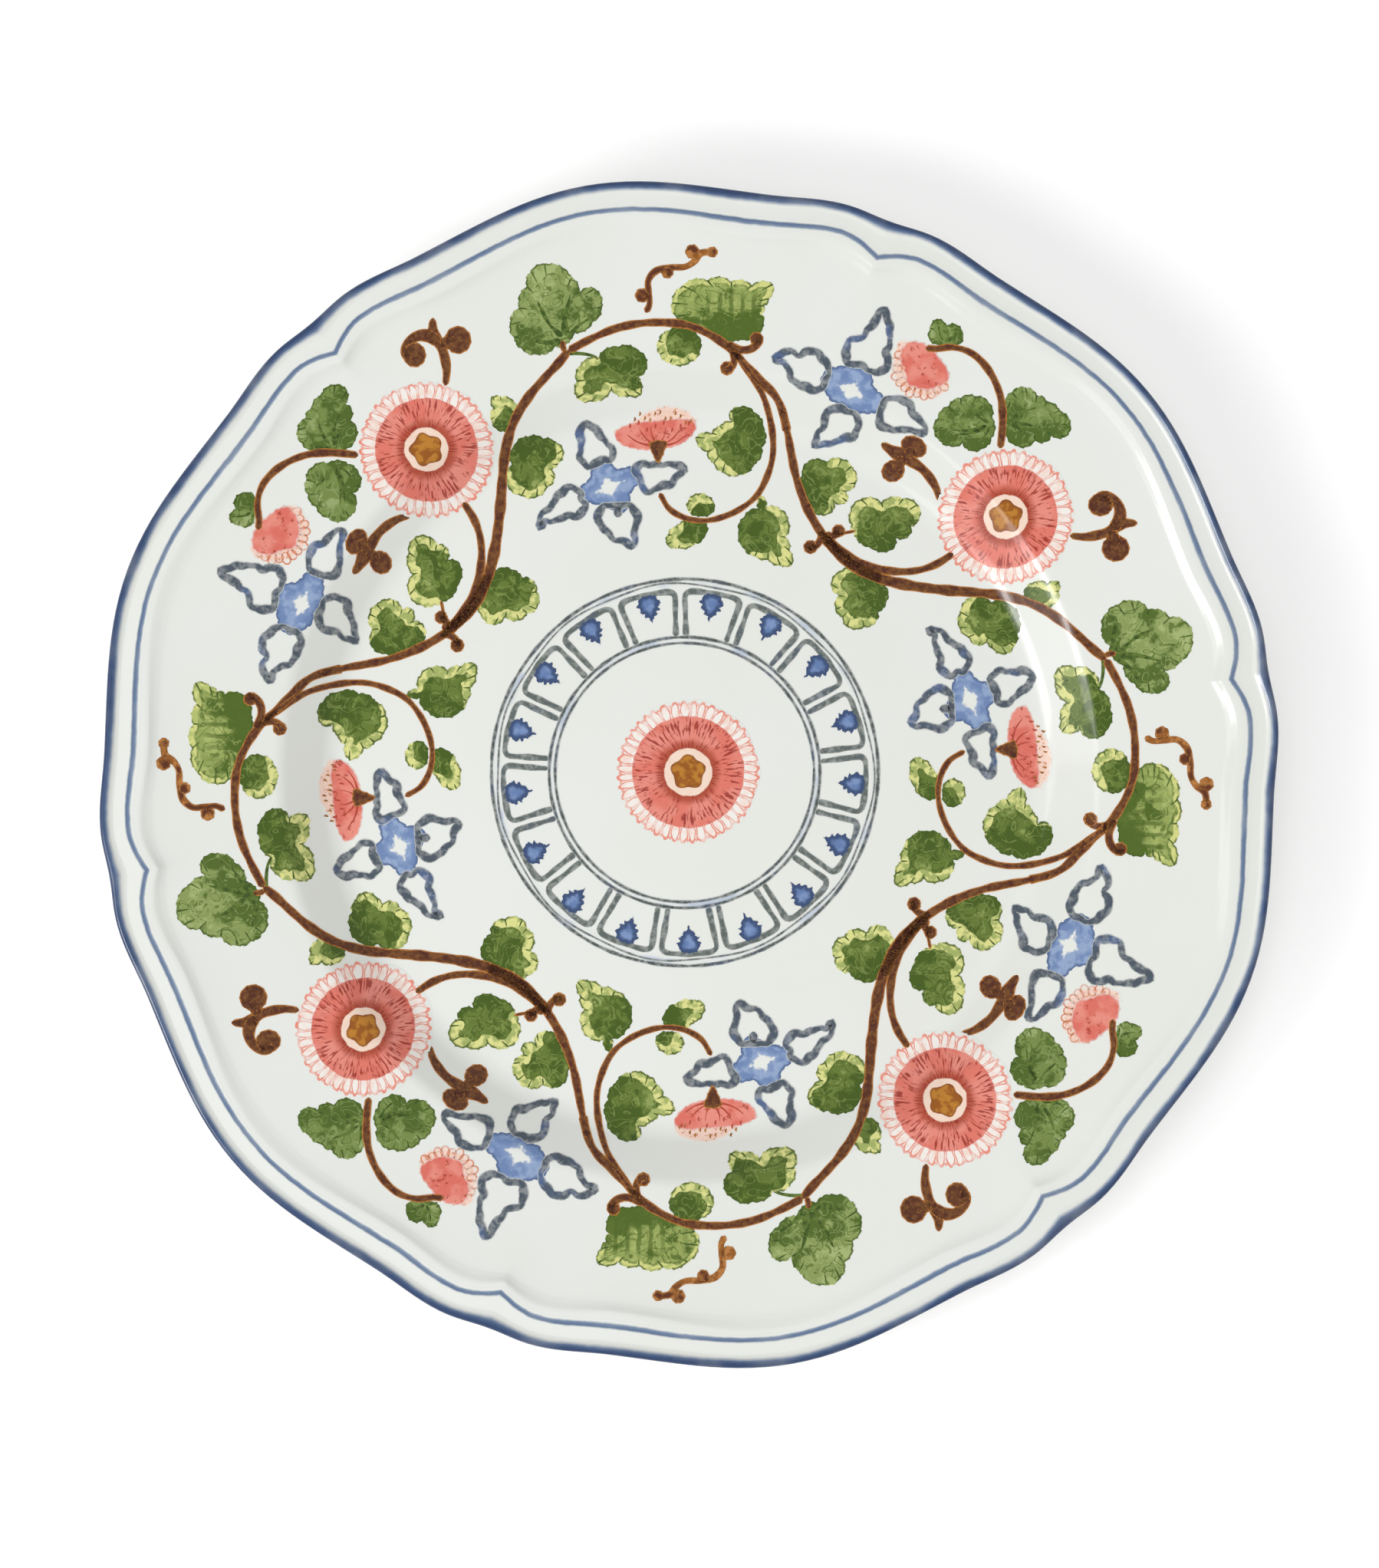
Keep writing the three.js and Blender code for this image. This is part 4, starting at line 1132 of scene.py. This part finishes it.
def loop_fringe(centre, radius, start, end, count, length, width):
    """Small looped petals standing round part of a bud."""
    loops = []
    for index, angle in enumerate(np.linspace(start, end, count)):
        long = length * (1 + 0.15 * math.sin(2.4 * index))
        middle = np.array(centre) + np.array(polar(radius + long / 2, angle))
        outline = ellipse(middle, long / 2, width / 2, angle, 14)
        loops.append(ribbon(outline[::2], 0.34, closed=True, step=0.4, wobble=0.1, seed=index))
    return loops


# Outlines of the coral bud and of the half flower.
BUD_BODY = [
    (49.4, 96), (48.9, 93.2), (50, 90.4), (50.3, 88), (52.4, 86.9), (55, 86.4), (57.8, 87.2), (60, 89),
    (59.4, 91.4), (57.6, 93.8), (55.6, 96.2), (51.8, 97.4),
]
BUD_FRINGE = [
    (48.4, 97.2), (47.4, 94.2), (47.2, 90.8), (48.2, 87.6), (50.6, 85.4), (53.8, 84.4), (57, 84.6),
    (59.8, 86.6), (60.2, 89), (57, 92), (54, 95), (51.2, 97.6),
]
BUD_STEM = [
    (71.5, 73.2), (71.9, 77), (72, 81), (71.4, 85), (69.8, 89), (67.4, 92.4), (64.4, 94.8),
    (60.6, 95.9), (57, 95.6), (54.6, 95.8),
]
HALF_FLOWER = [
    (-15.4, 77.6), (-14.2, 74.9), (-11, 73.7), (-7.6, 73.4), (-3.6, 73.8), (0, 75), (2.6, 77.4),
    (3, 79.8), (0, 80.7), (-4, 80.4), (-8, 80.1), (-12, 79.5),
]
HALF_FLOWER_FRINGE = [
    (-12.6, 79), (-9.6, 81.4), (-7, 83), (-3, 83.6), (0.6, 82.8), (3.4, 81), (2.8, 79.4), (-1, 79.4),
    (-6, 79), (-10, 78.6),
]
CALYX = [
    (-7.6, 75), (-7, 73), (-6.3, 71.4), (-5.5, 70.4), (-4.7, 71.6), (-4.1, 73.2), (-3.4, 75.2),
    (-5.5, 75.8),
]


def half_flower_veins():
    """Red strokes that fan out from the calyx, and dabs along the flower's upper edge."""
    root, strokes = np.array((-5.6, 74.2)), []
    tips = ((-13.6, 77.4), (-10.4, 79), (-7.4, 79.6), (-3.6, 79.4), (0, 78.6), (1.6, 77.2))
    for index, tip in enumerate(tips):
        way = np.array(tip) - root
        bend = np.array((-way[1], way[0])) * (0.08 if index < len(tips) / 2 else -0.08)
        vein = [root, root + way * 0.5 + bend, root + way * 0.88]
        strokes.append(ribbon(vein, 0.34, step=0.5, wobble=0.3, seed=index, ends=(1.6, 0.5)))
    for index, x in enumerate(np.arange(-12, 1.4, 1.9)):
        y = 79 + 0.9 * math.sin(index * 2.1)
        dab = [(x, y - 0.6), (x + 0.2, y), (x + 0.1, y + 0.5)]
        strokes.append(ribbon(dab, 0.4, step=0.3, seed=index))
    return strokes


def fringe_dabs():
    """Amber dabs that dot the pale fringe over the half flower."""
    dabs = []
    for index, x in enumerate(np.arange(-11, 2, 1.15)):
        y = 80.9 + 0.9 * math.sin(index * 1.7) - 0.025 * (x + 5) ** 2
        dabs.append(ribbon([(x, y), (x + 0.3, y + 0.5), (x + 0.1, y + 0.9)], 0.42, step=0.3, seed=index))
    return dabs


def rosette_shape(place, reach, steps, grid):
    """A rosette's round outline, faintly waved."""
    waves, depth = 9, 0.25
    outline = [
        (reach + depth * math.cos(waves * angle)) * np.array((math.cos(angle), math.sin(angle)))
        for angle in np.linspace(0, 2 * math.pi, steps, endpoint=False)
    ]
    return [blob(np.array(outline) + np.array(place), grid=grid)]


def quadrant_pieces():
    """Every piece of one quadrant: (name, patches, material, slot, level, nodes it stands for)."""
    sepia, amber, vein, red = sepia_paint(), amber_paint(), vein_green(), red_line()
    coral, blush, petal_line = coral_wash(), blush_wash(), petal_line_paint()
    slate = slate_paint("slate_paint", fired(82, 91, 101), fired(87, 105, 140), 0.4, 0.45)
    heart = blue_wash("flower_blue", fired(112, 135, 176), fired(146, 165, 198), fired(94, 112, 148),
                      rim_width=0.7, star=(3.6, 2.4))
    leaf_kinds = {
        "rimmed": leaf_green("rimmed_leaf", fired(148, 164, 96), fired(102, 121, 60),
                             fired(76, 96, 44), rim=fired(215, 215, 142), rim_width=2.0),
        "striped": leaf_green("striped_leaf", fired(172, 184, 112), fired(146, 161, 92),
                              fired(84, 105, 48), rim=fired(206, 208, 132), rim_width=1.1, stripes=9.0),
        "maple": leaf_green("maple_leaf", fired(166, 180, 120), fired(136, 153, 92),
                            fired(86, 107, 52)),
        "plain": leaf_green("plain_leaf", fired(154, 170, 114), fired(118, 137, 77),
                            fired(84, 105, 51)),
    }
    rosette = rosette_shape(VINE_ROSETTE_PLACE, VINE_ROSETTE["loop_radius"], 144, 1.1)
    rosette_coral = rosette_paint("rosette_paint", **VINE_ROSETTE)
    outer_lines = flower_lines(OUTER_BLUE_PETALS, 1)
    inner_lines = flower_lines(INNER_BLUE_PETALS, 7) + [ribbon(INNER_STUB, 1.9)]
    bud_loops = loop_fringe((54, 91.4), radius=4.6, start=152, end=318, count=12, length=2.5, width=1.9)
    bud_stem = ribbon(BUD_STEM, 1.6, seed=10, ends=(1.15, 0.9))
    pieces = [
        ("vine_stems", stems(), sepia, "sepia_brown", 2, ["vine"]),
        ("green_tendril", [ribbon(GREEN_TENDRIL, 0.75, seed=2)], vein, "leaf_green", 1, []),
        ("rosette_bloom", rosette, rosette_coral, "coral_red", 1, ["rosette"]),
        ("outer_fleur_bud", outer_fleur(), sepia, "sepia_brown", 1, ["outer_fleur"]),
        ("inner_fleur_bud", inner_fleur(), sepia, "sepia_brown", 1, ["inner_fleur"]),
        ("amber_tendril", tendril(), amber, "sepia_brown", 1, ["tendril"]),
        ("outer_flower_heart", flower_heart(OUTER_BLUE_HEART, OUTER_STAR), heart, "slate_blue", 1, []),
        ("outer_flower_lines", outer_lines, slate, "slate_blue", 2, ["outer_blue_flower"]),
        ("inner_flower_heart", flower_heart(INNER_BLUE_HEART, INNER_STAR), heart, "slate_blue", 1, []),
        ("inner_flower_lines", inner_lines, slate, "slate_blue", 2, ["inner_blue_flower"]),
        ("half_flower_fringe", [smooth_blob(HALF_FLOWER_FRINGE)], blush, "coral_red", 0, []),
        ("half_flower_bloom", [smooth_blob(HALF_FLOWER)], coral, "coral_red", 1, ["half_flower"]),
        ("half_flower_veins", half_flower_veins(), red, "coral_red", 2, []),
        ("half_flower_dabs", fringe_dabs(), amber, "sepia_brown", 2, []),
        ("half_flower_calyx", [smooth_blob(CALYX, 0.07, 0.8)], sepia, "sepia_brown", 3, []),
        ("bud_fringe", [smooth_blob(BUD_FRINGE)], blush, "coral_red", 0, []),
        ("bud_loops", bud_loops, petal_line, "coral_red", 1, []),
        ("bud_bloom", [smooth_blob(BUD_BODY, 0.14)], coral, "coral_red", 2, []),
        ("bud_stem", [bud_stem], sepia, "sepia_brown", 3, ["bud_spray"]),
    ]
    for index, (name, (kind, bright, _, notches)) in enumerate(LEAVES.items()):
        leaf = blob(ragged(scallops(notches), 0.12, index), grid=0.95, turn=bright, shares=True)
        pieces.append((name, [leaf], leaf_kinds[kind], "leaf_green", 1, []))
    pieces.append(("leaf_veins", leaf_veins(), vein, "leaf_green", 2, []))
    return pieces


# ---- Middle of the plate ---------------------------------------------------------------------

def circle_line(radius, width, seed, drift=0.0, waves=0):
    """A painted circle; drift makes it wander in and out."""
    angles = np.linspace(0, 360, 96, endpoint=False)
    slow = np.sin(np.radians(angles * waves) + seed)
    quick = np.sin(np.radians(angles * 3) + seed)
    radii = radius + drift * (slow + 0.6 * quick)
    points = [polar(reach, angle) for reach, angle in zip(radii, angles)]
    return ribbon(points, width, closed=True, step=0.9, wobble=0.12, seed=seed)


def panel_line(panel):
    """One arched panel: up one side, over the top and down the other."""
    gap = math.degrees(PANEL_GAP / PANEL_MIDDLE_RADIUS)
    side = PANEL_TURN / 2 - gap
    up = [
        polar(radius, side + gap * (1 - PANEL_MIDDLE_RADIUS / radius))
        for radius in (PANEL_FOOT_RADIUS, 34, 37, PANEL_TOP_RADIUS - 1.2)
    ]
    up.append(polar(PANEL_TOP_RADIUS - 0.25, side - 0.9))
    top = [polar(PANEL_TOP_RADIUS, angle) for angle in np.linspace(side - 2.6, -side + 2.6, 5)]
    points = up + top + [(x, -y) for x, y in reversed(up)]
    points = turned(points, FIRST_PANEL_ANGLE + panel * PANEL_TURN)
    return ribbon(points, 1.34, step=0.6, wobble=0.12, seed=panel)


def panel_leaf(panel):
    """A small jagged leaf that hangs from the top of a panel and points at the middle."""
    side = [
        (36.3, 0.5), (36.7, 1.5), (37.4, 1.3), (37.8, 2.4), (38.6, 1.9), (39.2, 2.9), (40.2, 2.2),
        (41, 2), (41.4, 0.8),
    ]
    notches = [(35, 0)] + [(x, -y) for x, y in side] + side[::-1]
    leaf = ragged(even(np.array(notches), 0.4, closed=True), 0.12, panel)
    return blob(turned(leaf, FIRST_PANEL_ANGLE + panel * PANEL_TURN), grid=0.7)


def medallion():
    """The border round the middle: painted circles, and arched panels with a leaf in each."""
    line = slate_paint("medallion_line", fired(80, 88, 88), fired(86, 96, 110), 0.45, 0.6)
    panel = slate_paint("panel_line", fired(98, 106, 103), fired(92, 101, 110), 0.4, 0.8)
    leaf = blue_wash("panel_blue", fired(102, 126, 170), fired(124, 147, 188), fired(66, 82, 116), 1.3)
    haze = [circle_line(43.4, 2.2, seed=1), circle_line(30.4, 2.0, seed=2)]
    film("medallion_haze", haze, haze_blue(), level=0)
    circles = [
        circle_line(44.35, 0.85, seed=1, drift=0.05, waves=9),
        circle_line(43.2, 0.5, seed=2, drift=0.28, waves=11),
        circle_line(31.05, 0.82, seed=3),
        circle_line(29.7, 0.74, seed=4),
    ]
    film("medallion_circles", circles, line, level=2, replaces=["medallion_border"])
    film("medallion_panels", [panel_line(p) for p in range(PANELS)], panel, level=1)
    film("medallion_leaves", [panel_leaf(p) for p in range(PANELS)], leaf, level=3)


def centre_rosette():
    shape = rosette_shape(CENTRE_ROSETTE_PLACE, CENTRE_ROSETTE["loop_radius"], 152, 1.3)
    paint = rosette_paint("centre_rosette_paint", **CENTRE_ROSETTE)
    film("centre_bloom", shape, paint, level=1, replaces=["centre_rosette"])


# ---- Studio ----------------------------------------------------------------------------------

PAPER_HALF_WIDTH = 3.0
PAPER_GREY = (0.93, 0.93, 0.93, 1)
SOFT_WHITE = (1, 1, 1, 1)
PAPER_GLOW = 0.11
SKY_STRENGTH = 0.5
# Each lamp: its direction in degrees, its distance and width in metres, its watts, whether the
# glaze reflects it, and whether it lights surfaces. The key's nested panels are brightest in the
# middle, and only they are reflected.
LAMPS = {
    "key_wide": (203, 40, 1.25, 0.9, 3.2, True, False),
    "key_middle": (203, 40, 1.24, 0.55, 3.0, True, True),
    "key_heart": (203, 40, 1.23, 0.3, 1.8, True, True),
    "shade_light": (238, 42, 1.4, 0.9, 4.2, False, True),
    "top_fill": (60, 80, 1.7, 1.2, 9.8, False, True),
}

# The camera, in millimetres. The sensor's size counts along the picture's longer side, its height,
# which is measured in a plane just below the lip.
LENS = 100.0
SENSOR_SIZE = 36.0
PICTURE_HEIGHT = 354.0
PICTURE_BELOW_LIP = 1.0
PICTURE_MIDDLE = (0.1, -2.1)


def paper():
    """A wide sheet of white paper, which glows a little so that it stays white."""
    mesh = bpy.data.meshes.new("studio_floor")
    half = PAPER_HALF_WIDTH
    corners = [(-half, -half, 0), (half, -half, 0), (half, half, 0), (-half, half, 0)]
    mesh.from_pydata(corners, [], [(0, 1, 2, 3)])
    floor = bpy.data.objects.new("studio_floor", mesh)
    bpy.context.scene.collection.objects.link(floor)
    material = bpy.data.materials.new("studio_paper")
    material.use_nodes = True
    shader = material.node_tree.nodes["Principled BSDF"]
    shader.inputs["Base Color"].default_value = PAPER_GREY
    shader.inputs["Roughness"].default_value = 0.9
    shader.inputs["Specular IOR Level"].default_value = 0.1
    shader.inputs["Emission Color"].default_value = SOFT_WHITE
    shader.inputs["Emission Strength"].default_value = PAPER_GLOW
    mesh.materials.append(material)


def sky():
    """Even white light from all round."""
    world = bpy.data.worlds.new("studio_world")
    bpy.context.scene.world = world
    world.use_nodes = True
    background = world.node_tree.nodes["Background"]
    background.inputs[0].default_value = SOFT_WHITE
    background.inputs[1].default_value = SKY_STRENGTH


def lamps():
    for name, (azimuth, elevation, distance, size, power, reflected, shades) in LAMPS.items():
        lamp = bpy.data.lights.new(name, "AREA")
        lamp.size = size
        lamp.energy = power
        light = bpy.data.objects.new(name, lamp)
        across, up = polar(1, elevation)
        heading = Vector((*polar(across, azimuth), up))
        light.location = heading * distance
        light.rotation_euler = (-heading).to_track_quat("-Z", "Y").to_euler()
        light.visible_glossy = reflected
        light.visible_diffuse = shades
        bpy.context.scene.collection.objects.link(light)


def camera():
    """Looks straight down; the plate sits a touch above the middle of the picture."""
    data = bpy.data.cameras.new("camera")
    data.lens = LENS
    data.sensor_width = SENSOR_SIZE
    eye = bpy.data.objects.new("camera", data)
    distance = PICTURE_HEIGHT * LENS / SENSOR_SIZE
    eye_height = LIP_HEIGHT - PICTURE_BELOW_LIP + distance
    eye.location = [place * MM for place in (*PICTURE_MIDDLE, eye_height)]
    bpy.context.scene.collection.objects.link(eye)
    bpy.context.scene.camera = eye


# ---- Build -----------------------------------------------------------------------------------

camera()
paper()
sky()
lamps()
bpy.context.scene.view_settings.view_transform = "Standard"

china_body()

EDGE_BLUE = rim_blue("edge_blue", fired(98, 119, 152), fired(62, 77, 108), soft_in=(0.55, 1.85),
                     soft_out=(4.1, 4.4), pooled=(1.3, 2.5), wander=1.1)
rim_ring("blue_edge_band", EDGE_BAND_START, EDGE_BAND_RUN, EDGE_BAND_RINGS, EDGE_BLUE, "edge_band")
VERGE_BLUE = rim_blue("verge_blue", fired(116, 134, 160), fired(100, 118, 146), soft_in=(0.35, 0.9),
                      soft_out=(1.4, 1.95), pooled=(0.8, 1.3), wander=0.4)
rim_ring("blue_verge_line", VERGE_LINE_START, VERGE_LINE_RUN, VERGE_LINE_RINGS, VERGE_BLUE, "verge_line")

medallion()
centre_rosette()

PIECES = quadrant_pieces()
for quadrant in range(1, QUADRANTS + 1):
    for name, patches, material, slot, level, nodes in PIECES:
        film(f"{name}_{quadrant}", patches, material, turn=-QUADRANT_TURN * (quadrant - 1),
             level=level, replaces=[f"{node}_{quadrant}" for node in nodes], slips=True)

bpy.context.view_layer.update()
